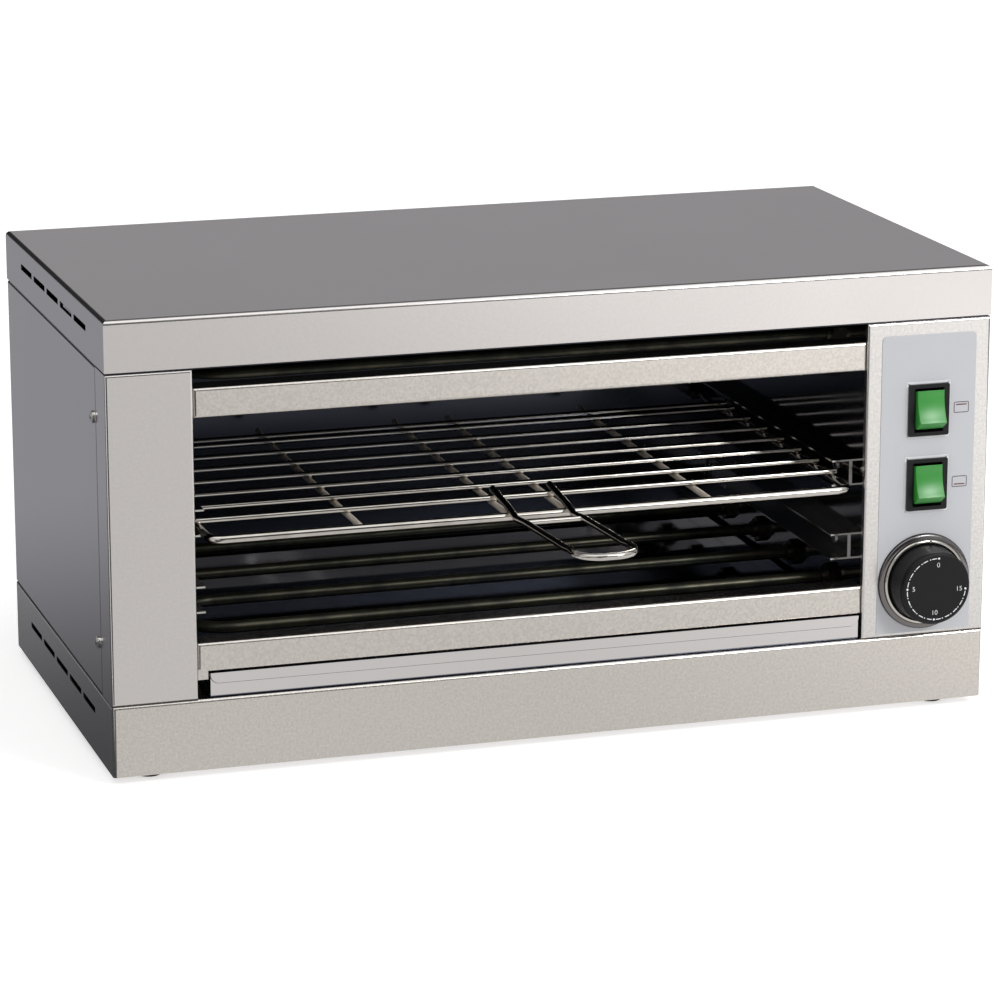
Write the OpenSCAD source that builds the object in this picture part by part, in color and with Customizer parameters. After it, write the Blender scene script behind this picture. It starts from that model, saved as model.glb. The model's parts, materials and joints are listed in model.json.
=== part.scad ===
// Countertop cheese melter: a sheet metal casing with an open front chamber,
// four tubular heaters, a sliding wire grid and a crumb tray.
// Millimetres, +Z up, front towards -Y. The origin is on the worktop, under
// the middle of the whole object, with the grid handle and the cable gland.

/* [Casing] */
// Width of the casing
body_w = 520; // [460:1:640]
// Depth of the casing
body_d = 275; // [250:1:340]
// Height of the casing without its feet
body_h = 258; // [240:1:320]
// Thickness of the outer sheet
sheet_t = 1.0; // [0.8:0.1:1.2]
// Thickness of the chamber liner sheet
liner_t = 0.8; // [0.6:0.1:1.0]
// Outside radius of the bends of the top cover
cover_bend_r = 2.8; // [2:0.1:3.5]
// Outside radius of the other folds
bend_r = 2.0; // [1.5:0.1:3]
// Outer radius of the bends of the front columns and side panels
panel_bend_r = 1.5; // [1.2:0.1:2]
// Height of the top cover
cover_h = 29; // [26:0.5:40]
// Height of the base tray
base_h = 41; // [36:0.5:50]
// Width of the lips under the base tray
base_lip_w = 34; // [30:1:42]
// Width of the inward flanges of the side panels
flange_w = 12; // [9:0.5:16]
// Visible seam between neighbouring panels
seam = 0.8; // [0.3:0.1:1]

/* [Feet] */
// Height of the feet below the base tray
foot_h = 5; // [4:0.5:10]
// Diameter of a foot at its top
foot_top_d = 16; // [14:0.5:20]
// Diameter of a foot where it rests
foot_tip_d = 13; // [11:0.5:14]
// Inset of the foot centres from the sides of the casing
foot_inset_x = 24; // [22:0.5:25]
// Inset of the foot centres from the front and back of the casing
foot_inset_y = 18.5; // [16:0.5:22]

/* [Vent slots] */
// Number of vent slots in each side skirt
vent_count = 5; // [3:1:6]
// Length of a vent slot
vent_l = 32; // [20:1:34]
// Height of a vent slot
vent_h = 3.6; // [2.5:0.1:4]
// Pitch of the vent slots
vent_pitch = 37.7; // [36:0.1:40]
// Height of the slots above the lower edge of the top cover
cover_vent_z = 15.8; // [12:0.1:18]
// Height of the slots above the lower edge of the base tray
base_vent_z = 25.6; // [15:0.1:30]

/* [Front] */
// Width of the left front pillar
pillar_w = 49; // [40:0.5:60]
// Width of the control panel
control_w = 76; // [72:0.5:90]
// Depth of the folded front columns
column_d = 24; // [20:0.5:30]
// Length of the tongue that each side panel laps over
tongue_l = 16; // [13:0.5:20]
// Height of the upper crossbar
upper_bar_h = 17.2; // [14:0.1:22]
// Gap above the upper crossbar
upper_bar_gap = 10.5; // [6:0.5:14]
// Height of the lower crossbar
lower_bar_h = 17; // [12:0.1:20]
// Depth of the crossbars
bar_d = 14; // [11:0.5:18]
// Width of the tab at the left end of the lower crossbar
bar_tab_w = 5.8; // [4:0.1:6.5]

/* [Chamber] */
// Air gap between the chamber back wall and the rear panel
back_gap = 17; // [14:0.5:24]
// Outside height of a runner
runner_h = 15.5; // [13:0.1:18]
// Reach of a runner from the chamber wall
runner_w = 11.5; // [10.5:0.1:13]
// Height of the upper runners above the base deck
upper_runner_z = 86.5; // [80:0.5:95]
// Height of the lower runners above the base deck
lower_runner_z = 42.3; // [38:0.1:46]

/* [Grid] */
// Diameter of the frame wire of the grid
frame_wire_d = 5; // [4:0.1:6]
// Diameter of the cross and depth wires
mesh_wire_d = 3.5; // [2.5:0.1:4]
// Pitch of the cross wires
cross_pitch = 28.2; // [22:0.1:36]
// Number of depth wires on each side of the middle
depth_pairs = 2; // [1:1:3]
// Gap between the grid and the runner webs
grid_side_gap = 6; // [5:0.1:6.5]
// Diameter of the handle wire
handle_wire_d = 4; // [3:0.1:5]
// Half the distance between the legs of the handle
handle_half_w = 17; // [15:0.5:30]
// Reach of the grid handle in front of the casing
handle_reach = 128; // [100:0.5:140]

/* [Crumb tray] */
// Height of the front lip of the crumb tray
tray_front_h = 14.2; // [12:0.1:15]
// Height of the side and back lips of the crumb tray
tray_lip_h = 10.8; // [7:0.1:12]
// Height of the hem folded over the front lip
hem_h = 5.9; // [4:0.1:8]
// Gap between the tray and the left pillar
tray_gap_l = 7; // [6:0.1:9]
// Gap between the tray and the control panel
tray_gap_r = 2; // [1.5:0.1:4]

/* [Heaters] */
// Diameter of a heater tube
heater_d = 6.8; // [6:0.1:8]
// Radius of the U-bends of the heaters, to the middle of the tube
heater_bend_r = 28.5; // [24:0.5:30]
// Distance of the front heater's middle line from the casing front
heater_front_y = 80; // [70:0.5:90]
// Distance between the middle lines of the front and rear heaters
heater_spread = 114; // [100:0.5:120]
// Height of the lower heaters above the base deck
lower_heater_z = 25; // [23:0.1:28]
// Distance of the upper heaters below the roof plate
upper_heater_drop = 15; // [12:0.1:18]
// Gap between the U-bends and the left chamber wall
heater_wall_gap = 3.1; // [2:0.1:6]

/* [Controls] */
// Width of a switch bezel
bezel_w = 25; // [24.5:0.1:27]
// Height of a switch bezel
bezel_h = 30.5; // [30.5:0.1:33]
// Height of the upper switch above the base deck
upper_switch_z = 134.75; // [130:0.25:140]
// Pitch of the two switches
switch_pitch = 44.2; // [36:0.1:48]
// Tilt of a rocker to each side of its middle position
rocker_tilt = 15; // [6:0.5:15]
// Height of the timer dial above the base deck
dial_z = 32.5; // [29:0.1:36]
// Outer diameter of the dial ring
ring_d = 56.5; // [50:0.5:57]
// Diameter of the timer knob at its base
knob_base_d = 44.8; // [40:0.2:48]
// Diameter of the face of the timer knob
knob_face_d = 41.6; // [34:0.2:42]
// Reach of the knob in front of the overlay
knob_h = 19.5; // [18:0.2:26]
// Thickness of the printed overlay on the control panel
overlay_t = 0.4; // [0.2:0.1:0.6]

/* [Hidden] */
$fn = 48;

// How far cutters run past what they cut
over = 1;
// Lengths below this are left out
tiny = 0.01;
// Play of screws, bushes and pins in their holes, on the radius
play = 0.05;
// Gap between welded wires, which only meet along a line
weld_gap = 0.05;
// Gap under and beside what slides
slide_gap = 0.3;

// Main planes of the casing
gland_reach = 18;
total_d = handle_reach + body_d + gland_reach;
front_y = handle_reach - total_d / 2;
rear_y = front_y + body_d;
left_x = -body_w / 2;
right_x = body_w / 2;
deck_z = foot_h + base_h;
panel_h = body_h - base_h - cover_h - sheet_t;
roof_z = deck_z + panel_h;
cover_z = roof_z + sheet_t;
mid_y = front_y + body_d / 2;

// The chamber between the front columns, and its walls outside their returns
chamber_l = left_x + pillar_w;
chamber_r = right_x - control_w;
chamber_w = chamber_r - chamber_l;
wall_l = chamber_l - sheet_t;
wall_r = chamber_r + sheet_t;
// Depth of the columns' returns on the chamber side
return_d = 4;
wall_front_y = front_y + 2.5;
wall_flange_w = 12;
back_y = rear_y - sheet_t - back_gap - liner_t;
side_y = front_y + column_d + seam;
control_x = (chamber_r + right_x) / 2;

// Screw sizes
screw_d = 4;
screw_head_d = 7;
screw_head_h = 2.2;
small_screw_d = 3;
small_head_d = 5.6;
small_head_h = 1.6;
panel_screw_l = 8;
small_screw_l = 6;

// ---------- helpers ----------

// Outline with its two upper corners rounded, standing on y = 0
module arched_profile(w, h, r) {
    translate([-w / 2, 0])
        square([w, h - r]);
    translate([r - w / 2, 0])
        square([w - 2 * r, h]);
    for (side = [-1, 1])
        translate([side * (w / 2 - r), h - r])
            circle(r);
}

// Block with its four top edges rounded, standing on z = 0
module rounded_top_block(w, d, h, r) {
    intersection() {
        translate([0, d / 2, 0])
            rotate([90, 0, 0])
                linear_extrude(d)
                    arched_profile(w, h, r);
        translate([-w / 2, 0, 0])
            rotate([90, 0, 90])
                linear_extrude(w)
                    arched_profile(d, h, r);
    }
}

// The same block with its four upright edges rounded as well
module rounded_block(w, d, h, r) {
    intersection() {
        rounded_top_block(w, d, h, r);
        linear_extrude(h)
            rounded_rect(w, d, r);
    }
}

// Shell folded from sheet, open below
module folded_pan(w, d, h, r, t) {
    difference() {
        rounded_top_block(w, d, h, r);
        translate([0, 0, -over])
            rounded_top_block(w - 2 * t, d - 2 * t, h - t + over, r - t);
    }
}

// Crossbar folded from sheet: closed towards -Y, open towards +Y
module folded_bar(w, h, d, r, t) {
    translate([w / 2, d, h / 2])
        rotate([90, 0, 0])
            folded_pan(w, h, d, r, t);
}

// Outline of a rectangle with one rounded corner at the origin
module corner_rounded(a, b, r) {
    translate([r, 0])
        square([a - r, b]);
    translate([0, r])
        square([a, b - r]);
    translate([r, r])
        circle(r);
}

// Outline of an angle folded from sheet, its corner at the origin
module folded_l(a, b, r, t) {
    difference() {
        corner_rounded(a, b, r);
        translate([t, t])
            corner_rounded(a + over, b + over, r - t);
    }
}

// Rectangle with four rounded corners, centred
module rounded_rect(w, h, r) {
    square([w - 2 * r, h], center = true);
    square([w, h - 2 * r], center = true);
    for (sx = [-1, 1], sy = [-1, 1])
        translate([sx * (w / 2 - r), sy * (h / 2 - r)])
            circle(r);
}

// Box given by its two corners
module box(lo, hi) {
    translate(lo)
        cube(hi - lo);
}

// Cylinder along X, Y or Z through a point, in the positive direction
module rod_x(at, d, l) {
    translate(at)
        rotate([0, 90, 0])
            cylinder(d = d, h = l);
}
module rod_y(at, d, l) {
    translate(at)
        rotate([-90, 0, 0])
            cylinder(d = d, h = l);
}
module rod_z(at, d, l) {
    translate(at)
        cylinder(d = d, h = l);
}

// Pan-head screw: the head's seat on z = 0, the head above, the shank below
module pan_screw(d, l, head_d, head_h) {
    slot_w = head_d / 7;
    difference() {
        intersection() {
            cylinder(d = head_d, h = head_h);
            translate([0, 0, head_h - head_d])
                sphere(head_d, $fn = 64);
        }
        for (turn = [0, 90])
            rotate(turn)
                translate([-head_d / 3.4, -slot_w / 2, head_h * 0.55])
                    cube([head_d / 1.7, slot_w, head_h]);
    }
    translate([0, 0, -l])
        cylinder(d = d, h = l + tiny);
}

// Hexagon nut on z = 0
module hex_nut(across, h, bore_d) {
    difference() {
        cylinder(d = across / cos(30), h = h, $fn = 6);
        translate([0, 0, -over])
            cylinder(d = bore_d, h = h + 2 * over);
    }
}

// Wire along a list of points. Corners are round bends of radius r, and
// where it turns by less than slight_turn a ball a hair wider joins the runs
slight_turn = 20;
knuckle = 0.02;
knuckle_gap = 0.2;
function unit(v) = v / norm(v);
function turn_at(p, i) =
    acos(max(-1, min(1, unit(p[i] - p[i - 1]) * unit(p[i + 1] - p[i]))));
function taken_at(p, i, r) =
    (i == 0 || i == len(p) - 1) ? 0
    : turn_at(p, i) < slight_turn ? knuckle_gap
    : r * tan(turn_at(p, i) / 2);
module wire(p, d, r) {
    for (i = [0:len(p) - 2]) {
        run = unit(p[i + 1] - p[i]);
        start = p[i] + run * taken_at(p, i, r);
        length = norm(p[i + 1] - p[i]) - taken_at(p, i, r) - taken_at(p, i + 1, r);
        if (length > tiny)
            translate(start)
                rotate([0, acos(run.z), atan2(run.y, run.x)])
                    cylinder(d = d, h = length);
    }
    if (len(p) > 2)
        for (i = [1:len(p) - 2])
            if (turn_at(p, i) < slight_turn)
                translate(p[i])
                    sphere(d / 2 + knuckle);
            else
                wire_bend(p[i], unit(p[i] - p[i - 1]), unit(p[i + 1] - p[i]), turn_at(p, i), d, r);
}

// One bend of a wire at a corner, from direction u to direction v
module wire_bend(corner, u, v, angle, d, r) {
    inward = unit(v - (u * v) * u);
    sideways = cross(u, inward);
    start = corner - u * r * tan(angle / 2);
    multmatrix([
        [inward.x, sideways.x, u.x, start.x],
        [inward.y, sideways.y, u.y, start.y],
        [inward.z, sideways.z, u.z, start.z],
        [0, 0, 0, 1]])
        translate([r, 0, 0])
            rotate([90, 0, 180])
                rotate_extrude(angle = angle)
                    translate([r, 0])
                        circle(d = d);
}

vent_corner_r = 0.9;

// Row of vent slots cut through both side skirts at one height
module vent_cutters(z) {
    for (i = [0:vent_count - 1])
        translate([left_x - over, mid_y + (i - (vent_count - 1) / 2) * vent_pitch, z])
            rotate([90, 0, 90])
                linear_extrude(body_w + 2 * over)
                    rounded_rect(vent_l, vent_h, vent_corner_r);
}

// ---------- casing ----------

steel = [0.78, 0.77, 0.75];
liner = [0.35, 0.37, 0.40];
zinc = [0.70, 0.71, 0.72];

// Angle brackets inside the top cover: one stiffens each side skirt behind a
// vent slot, and two carry the rear fixing screws
bracket_l = 24;
bracket_foot = 18;
bracket_rise = 1;
stiffener_h = cover_h - sheet_t - cover_vent_z + vent_h / 2 - bracket_rise;
bracket_y = mid_y - vent_pitch;
rear_bracket_l = 20;
bracket_h = 20;
rear_bracket_x = 178;

// Rear fixing screws of the cover, through its rear skirt
module cover_screw_rods(d, l) {
    for (side = [-1, 1])
        rod_y([side * rear_bracket_x, rear_y + over - l, cover_z + bracket_h / 2], d, l);
}

module top_cover() {
    color(steel) difference() {
        translate([0, mid_y, cover_z])
            folded_pan(body_w, body_d, cover_h, cover_bend_r, sheet_t);
        vent_cutters(cover_z + cover_vent_z);
        cover_screw_rods(screw_d + 2 * play, 3 * sheet_t + over);
    }
}

module cover_brackets() {
    color(zinc) {
        for (side = [0, 1])
            mirror([side, 0, 0])
                translate([right_x - sheet_t, bracket_y + bracket_l / 2, cover_z + cover_h - sheet_t])
                    rotate([90, 180, 0])
                        linear_extrude(bracket_l)
                            folded_l(bracket_foot, stiffener_h, cover_bend_r, sheet_t);
        difference() {
            for (side = [-1, 1])
                translate([side * rear_bracket_x - rear_bracket_l / 2, rear_y - sheet_t, cover_z])
                    rotate([90, 0, 90])
                        mirror([1, 0, 0])
                            linear_extrude(rear_bracket_l)
                                folded_l(bracket_foot, bracket_h, bend_r, sheet_t);
            cover_screw_rods(screw_d + 2 * play, 3 * sheet_t + over);
        }
    }
}

module cover_screws() {
    color(zinc)
        for (side = [-1, 1])
            translate([side * rear_bracket_x, rear_y, cover_z + bracket_h / 2])
                rotate([-90, 0, 0])
                    pan_screw(screw_d, panel_screw_l, screw_head_d, screw_head_h);
}

// The deck over the chamber, with its edge under the skirt of the cover
module roof_plate() {
    inset = sheet_t + slide_gap;
    color(liner)
        box([left_x + inset, front_y + inset, roof_z], [right_x - inset, rear_y - inset, cover_z]);
}

module base_tray() {
    opening_w = body_w - 2 * base_lip_w;
    opening_d = body_d - 2 * base_lip_w;
    color(steel) difference() {
        translate([0, mid_y, foot_h])
            rounded_block(body_w, body_d, base_h, bend_r);
        translate([0, mid_y, foot_h + sheet_t])
            rounded_block(body_w - 2 * sheet_t, body_d - 2 * sheet_t, base_h - 2 * sheet_t,
                bend_r - sheet_t);
        translate([-opening_w / 2, mid_y - opening_d / 2, foot_h - over])
            cube([opening_w, opening_d, sheet_t + 2 * over]);
        vent_cutters(foot_h + base_vent_z);
        foot_screw_rods(screw_d + 2 * play);
        rod_z([earth_x, earth_y, deck_z - sheet_t - over], earth_d + 2 * play, sheet_t + 2 * over);
    }
}

// Vertical rods through the four feet
module foot_screw_rods(d) {
    for (sx = [-1, 1], sy = [-1, 1])
        rod_z([sx * (body_w / 2 - foot_inset_x), mid_y + sy * (body_d / 2 - foot_inset_y),
            foot_h - over], d, 2 * sheet_t + 2 * over);
}

module bottom_plate() {
    edge = 9;
    color(steel) difference() {
        box([left_x + edge, front_y + edge, foot_h + sheet_t],
            [right_x - edge, rear_y - edge, foot_h + 2 * sheet_t]);
        foot_screw_rods(screw_d + 2 * play);
    }
}

// Places the children at the four feet, on the worktop
module at_feet() {
    for (sx = [-1, 1], sy = [-1, 1])
        translate([sx * (body_w / 2 - foot_inset_x), mid_y + sy * (body_d / 2 - foot_inset_y), 0])
            children();
}

foot_pocket_h = 2.4;
foot_pocket_d = 8.4;
foot_nut_h = 3.2;
foot_nut_across = 7;
foot_head_h = 2;

module feet() {
    color([0.13, 0.12, 0.11])
        at_feet()
            difference() {
                cylinder(d1 = foot_tip_d, d2 = foot_top_d, h = foot_h);
                translate([0, 0, -over])
                    cylinder(d = foot_pocket_d, h = foot_pocket_h + over);
                cylinder(d = screw_d + 2 * play, h = foot_h + over);
            }
}

module foot_screws() {
    grip = foot_h - foot_pocket_h + 2 * sheet_t + foot_nut_h + 1;
    color(zinc)
        at_feet()
            translate([0, 0, foot_pocket_h])
                rotate([180, 0, 0])
                    pan_screw(screw_d, grip, screw_head_d, foot_head_h);
}

module foot_nuts() {
    color(zinc)
        at_feet()
            translate([0, 0, foot_h + 2 * sheet_t])
                hex_nut(foot_nut_across, foot_nut_h, screw_d + 2 * play);
}

// Side panel screws: near the front edge, through the tongues of the columns
side_screw_y = front_y + column_d + 6;
side_screw_z = [deck_z + 29.2, roof_z - 29.3];

module side_screw_rods(d) {
    for (z = side_screw_z)
        rod_x([left_x - over, side_screw_y, z], d, body_w + 2 * over);
}

// Rear panel screws, in the rear flanges of the side panels
rear_screw_x = body_w / 2 - sheet_t - flange_w / 2;
rear_screw_z = [deck_z + 24, (deck_z + roof_z) / 2, roof_z - 24];

module rear_screw_rods(d) {
    for (side = [-1, 1], z = rear_screw_z)
        rod_y([side * rear_screw_x, rear_y - 3 * sheet_t - over, z], d, 4 * sheet_t + 2 * over);
}

// Side panel folded as a shallow pan, open at the front inside its edge bend
module left_side_panel() {
    panel_rear = rear_y - sheet_t;
    panel_l = panel_rear - side_y;
    color([0.55, 0.56, 0.60]) difference() {
        translate([left_x, side_y + panel_l / 2, deck_z + panel_h / 2])
            rotate([0, -90, 0])
                translate([0, 0, -flange_w])
                    folded_pan(panel_h, panel_l, flange_w, panel_bend_r, sheet_t);
        box([left_x + sheet_t, side_y - over, deck_z - over],
            [left_x + flange_w + over, side_y + tongue_l, roof_z + over]);
        side_screw_rods(screw_d + 2 * play);
        rear_screw_rods(small_screw_d + 2 * play);
    }
}

module right_side_panel() {
    mirror([1, 0, 0])
        left_side_panel();
}

module side_panel_screws() {
    color(zinc)
        for (side = [0, 1], z = side_screw_z)
            mirror([side, 0, 0])
                translate([left_x, side_screw_y, z])
                    rotate([0, -90, 0])
                        pan_screw(screw_d, panel_screw_l, screw_head_d, screw_head_h);
}

module rear_panel() {
    edge = 2;
    color(steel) difference() {
        box([left_x + edge, rear_y - sheet_t, deck_z + edge / 2],
            [right_x - edge, rear_y, roof_z - edge / 2]);
        rear_screw_rods(small_screw_d + 2 * play);
        rod_y([gland_x, rear_y - sheet_t - over, gland_z], gland_thread_d + 2 * play,
            sheet_t + 2 * over);
    }
}

module rear_panel_screws() {
    color(zinc)
        for (side = [-1, 1], z = rear_screw_z)
            translate([side * rear_screw_x, rear_y, z])
                rotate([-90, 0, 0])
                    pan_screw(small_screw_d, small_screw_l, small_head_d, small_head_h);
}

// ---------- front ----------

// Column folded from sheet: front face, flanges on the outer side, at the top
// and at the bottom, a short return on the chamber side with room for the
// chamber wall behind it, and a joggled tongue that the side panel laps over
module front_column(w) {
    tongue_gap = 3;
    wall_slot_x = w - sheet_t - liner_t - slide_gap;
    difference() {
        folded_bar(w, panel_h, column_d, panel_bend_r, sheet_t);
        box([wall_slot_x, wall_front_y - front_y - slide_gap, -over],
            [w - sheet_t, column_d + over, panel_h + over]);
        box([wall_slot_x, return_d, -over], [w + over, column_d + over, panel_h + over]);
    }
    box([0, column_d - sheet_t, tongue_gap], [2 * sheet_t, column_d, panel_h - tongue_gap]);
    box([sheet_t, column_d - sheet_t, tongue_gap],
        [2 * sheet_t, column_d + tongue_l, panel_h - tongue_gap]);
}

module left_front_pillar() {
    color(steel) difference() {
        translate([left_x, front_y, deck_z])
            front_column(pillar_w);
        side_screw_rods(screw_d + 2 * play);
    }
}

module control_panel() {
    color(steel) difference() {
        translate([right_x, front_y, deck_z])
            mirror([1, 0, 0])
                front_column(control_w);
        side_screw_rods(screw_d + 2 * play);
        panel_cutouts();
    }
}

// Depth of the lower flange of the upper crossbar
upper_bar_lower_flange = 10;
bar_y = front_y + sheet_t;

module upper_crossbar() {
    color(steel)
        translate([chamber_l, bar_y, roof_z - upper_bar_gap - upper_bar_h])
            difference() {
                folded_bar(chamber_w, upper_bar_h, bar_d, bend_r, sheet_t);
                translate([-over, upper_bar_lower_flange, -over])
                    cube([chamber_w + 2 * over, bar_d, over + upper_bar_h / 2]);
            }
}

lower_bar_z = deck_z + tray_front_h + 0.8;

module lower_crossbar() {
    tab_h = 4;
    color(steel)
        translate([chamber_l, bar_y, lower_bar_z]) {
            folded_bar(chamber_w, lower_bar_h, bar_d, bend_r, sheet_t);
            translate([0, 0, -tab_h])
                cube([bar_tab_w, sheet_t, tab_h + bend_r]);
        }
}

// ---------- chamber ----------

// Chamber side wall, with its polished face on x = 0 and its flanges on -X
module liner_wall() {
    flange_y = front_y + column_d + sheet_t;
    box([-liner_t, wall_front_y, deck_z], [0, back_y, roof_z]);
    for (z = [deck_z, roof_z - liner_t])
        box([-wall_flange_w, flange_y, z], [-liner_t / 2, back_y, z + liner_t]);
}

module chamber_left_wall() {
    color(liner) difference() {
        translate([wall_l, 0, 0])
            liner_wall();
        rivet_rods(wall_l - 2 * over, rivet_d + 2 * play, 4 * over);
    }
}

module chamber_right_wall() {
    color(liner) difference() {
        translate([wall_r, 0, 0])
            mirror([1, 0, 0])
                liner_wall();
        rivet_rods(wall_r - 2 * over, rivet_d + 2 * play, 4 * over);
        for (z = heater_levels)
            heater_ends(z)
                rod_x([wall_r - over, 0, 0], bush_d + 2 * play, liner_t + 2 * over);
    }
}

module chamber_back_wall() {
    flange = 10;
    color(liner) {
        box([wall_l - liner_t, back_y, deck_z], [wall_r + liner_t, back_y + liner_t, roof_z]);
        for (z = [deck_z, roof_z - liner_t])
            box([wall_l, back_y + liner_t / 2, z], [wall_r, back_y + flange, z + liner_t]);
    }
}

// Runners: C-channels on the chamber walls
runner_front_y = front_y + column_d + 0.3;
runner_l = back_y - runner_front_y - 6;
rivet_d = 3.2;
rivet_y = [runner_front_y + 20, runner_front_y + runner_l - 20];
runner_levels = [deck_z + lower_runner_z, deck_z + upper_runner_z];

// Rods through both ends of the runners at one wall
module rivet_rods(x, d, l) {
    for (z = runner_levels, y = rivet_y)
        rod_x([x, y, z + runner_h / 2], d, l);
}

// Runner with its web on x = 0 and its mouth towards +X
module runner(z) {
    difference() {
        box([0, runner_front_y, z], [runner_w, runner_front_y + runner_l, z + runner_h]);
        box([sheet_t, runner_front_y - over, z + sheet_t],
            [runner_w + over, runner_front_y + runner_l + over, z + runner_h - sheet_t]);
    }
}

module left_runner(z) {
    color(zinc) difference() {
        translate([wall_l, 0, 0])
            runner(z);
        rivet_rods(wall_l - over, rivet_d + 2 * play, sheet_t + 2 * over);
    }
}

module right_runner(z) {
    color(zinc) difference() {
        translate([wall_r, 0, 0])
            mirror([1, 0, 0])
                runner(z);
        rivet_rods(wall_r - sheet_t - over, rivet_d + 2 * play, sheet_t + 2 * over);
    }
}

module upper_left_runner() left_runner(runner_levels[1]);
module upper_right_runner() right_runner(runner_levels[1]);
module lower_left_runner() left_runner(runner_levels[0]);
module lower_right_runner() right_runner(runner_levels[0]);

// Blind rivets: a flat head inside the channel, a formed head behind the wall
module runner_rivets() {
    head_d = 6;
    head_h = 0.8;
    grip = sheet_t + liner_t;
    color(zinc)
        for (side = [0, 1], z = runner_levels, y = rivet_y)
            translate([side == 0 ? wall_l + sheet_t : wall_r - sheet_t, y, z + runner_h / 2])
                mirror([side, 0, 0])
                    rotate([0, -90, 0]) {
                        translate([0, 0, -head_h])
                            cylinder(d = head_d, h = head_h);
                        translate([0, 0, -tiny])
                            cylinder(d = rivet_d, h = grip + 2 * tiny);
                        translate([0, 0, grip])
                            cylinder(d1 = rivet_d + 1.6, d2 = rivet_d, h = 1.5);
                    }
}

// ---------- heaters ----------

heater_rows = [front_y + heater_front_y, front_y + heater_front_y + heater_spread];
heater_levels = [deck_z + lower_heater_z, roof_z - upper_heater_drop];
heater_tip_x = wall_l + heater_wall_gap + heater_d / 2;
heater_end_x = wall_r + 17;
bush_d = 10;
bush_in = 7;
bush_out = 8;
bush_hex_d = 16;
bush_hex_h = 3;
bush_nut_across = 14;
bush_nut_h = 4;

// Hairpin tube with its U-bend at the left
module heater(y, z) {
    color([0.28, 0.26, 0.20])
        wire([
            [heater_end_x, y - heater_bend_r, z],
            [heater_tip_x, y - heater_bend_r, z],
            [heater_tip_x, y + heater_bend_r, z],
            [heater_end_x, y + heater_bend_r, z]], heater_d, heater_bend_r);
}

module upper_front_heater() heater(heater_rows[0], heater_levels[1]);
module upper_rear_heater() heater(heater_rows[1], heater_levels[1]);
module lower_front_heater() heater(heater_rows[0], heater_levels[0]);
module lower_rear_heater() heater(heater_rows[1], heater_levels[0]);

// Places the children, made on y = 0 and z = 0, at the heater ends of a level
module heater_ends(z) {
    for (row = heater_rows, side = [-1, 1])
        translate([0, row + side * heater_bend_r, z])
            children();
}

// Shelves on the left wall that carry the U-bends
module heater_brackets() {
    shelf_w = 16;
    shelf_l = 28;
    lip = 10;
    shelf_gap = 0.1;
    color(zinc)
        for (row = heater_rows, z = heater_levels)
            translate([wall_l, row + shelf_l / 2, z - heater_d / 2 - shelf_gap])
                rotate([90, 0, 0])
                    linear_extrude(shelf_l)
                        mirror([0, 1])
                            folded_l(shelf_w, lip, bend_r, sheet_t);
}

// Threaded bushes brazed on the tubes, their hexagon outside the chamber
module heater_bushes() {
    color([0.72, 0.62, 0.40])
        for (z = heater_levels)
            heater_ends(z)
                difference() {
                    union() {
                        rod_x([wall_r - bush_in, 0, 0], bush_d, bush_in + liner_t + bush_out);
                        translate([wall_r + liner_t, 0, 0])
                            rotate([0, 90, 0])
                                cylinder(d = bush_hex_d, h = bush_hex_h, $fn = 6);
                    }
                    rod_x([wall_r - bush_in - over, 0, 0], heater_d + 2 * play,
                        bush_in + bush_out + liner_t + 2 * over);
                }
}

module heater_nuts() {
    color(zinc)
        for (z = heater_levels)
            heater_ends(z)
                translate([wall_r, 0, 0])
                    rotate([0, -90, 0])
                        hex_nut(bush_nut_across, bush_nut_h, bush_d + 2 * play);
}

insulator_l = 9;
insulator_d = 8.6;
insulator_neck_d = 5.4;
insulator_neck_l = 2;
pin_stud_d = 3;
tab_nut_d = 7;
tab_nut_h = 2;
tab_l = 8;
tab_half_w = 3.15;
tab_half_t = 0.4;

module heater_insulators() {
    color([0.88, 0.86, 0.82])
        for (z = heater_levels)
            heater_ends(z)
                difference() {
                    union() {
                        rod_x([heater_end_x, 0, 0], insulator_d, insulator_l);
                        rod_x([heater_end_x + insulator_l - tiny, 0, 0], insulator_neck_d,
                            insulator_neck_l);
                    }
                    rod_x([heater_end_x - over, 0, 0], pin_stud_d + 2 * play,
                        insulator_l + insulator_neck_l + 2 * over);
                }
}

module heater_terminals() {
    nut_x = heater_end_x + insulator_l + insulator_neck_l + 1;
    color([0.75, 0.74, 0.70])
        for (z = heater_levels)
            heater_ends(z) {
                rod_x([heater_end_x, 0, 0], pin_stud_d, nut_x + tab_nut_h - heater_end_x);
                translate([nut_x, 0, 0])
                    rotate([0, 90, 0])
                        cylinder(d = tab_nut_d, h = tab_nut_h, $fn = 6);
                box([nut_x + tab_nut_h - tiny, -tab_half_w, -tab_half_t],
                    [nut_x + tab_nut_h + tab_l, tab_half_w, tab_half_t]);
            }
}

// ---------- grid ----------

grid_z = runner_levels[1] + sheet_t + slide_gap + frame_wire_d / 2;
cross_z = grid_z + frame_wire_d / 2 + mesh_wire_d / 2 + weld_gap;
depth_z = cross_z - mesh_wire_d - weld_gap;
grid_x = (chamber_l + chamber_r) / 2;
grid_half_w = chamber_w / 2 - grid_side_gap - frame_wire_d / 2;
grid_front_y = front_y + 1;
grid_back_y = back_y - 10;
depth_back_y = back_y - 22;
first_cross_y = front_y + 28.6;
last_cross_y = back_y - 45;
least_cross_gap = 12;
cross_count = floor((last_cross_y - least_cross_gap - first_cross_y) / cross_pitch) + 1;
cross_ys = concat([for (i = [0:cross_count - 1]) first_cross_y + i * cross_pitch], [last_cross_y]);
chrome = [0.82, 0.83, 0.85];
end_rise = 2;
end_run = 9;
frame_bend_r = 8;
// How far the cross wires stop short of the frame's outer side
cross_end_gap = 0.5;

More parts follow.
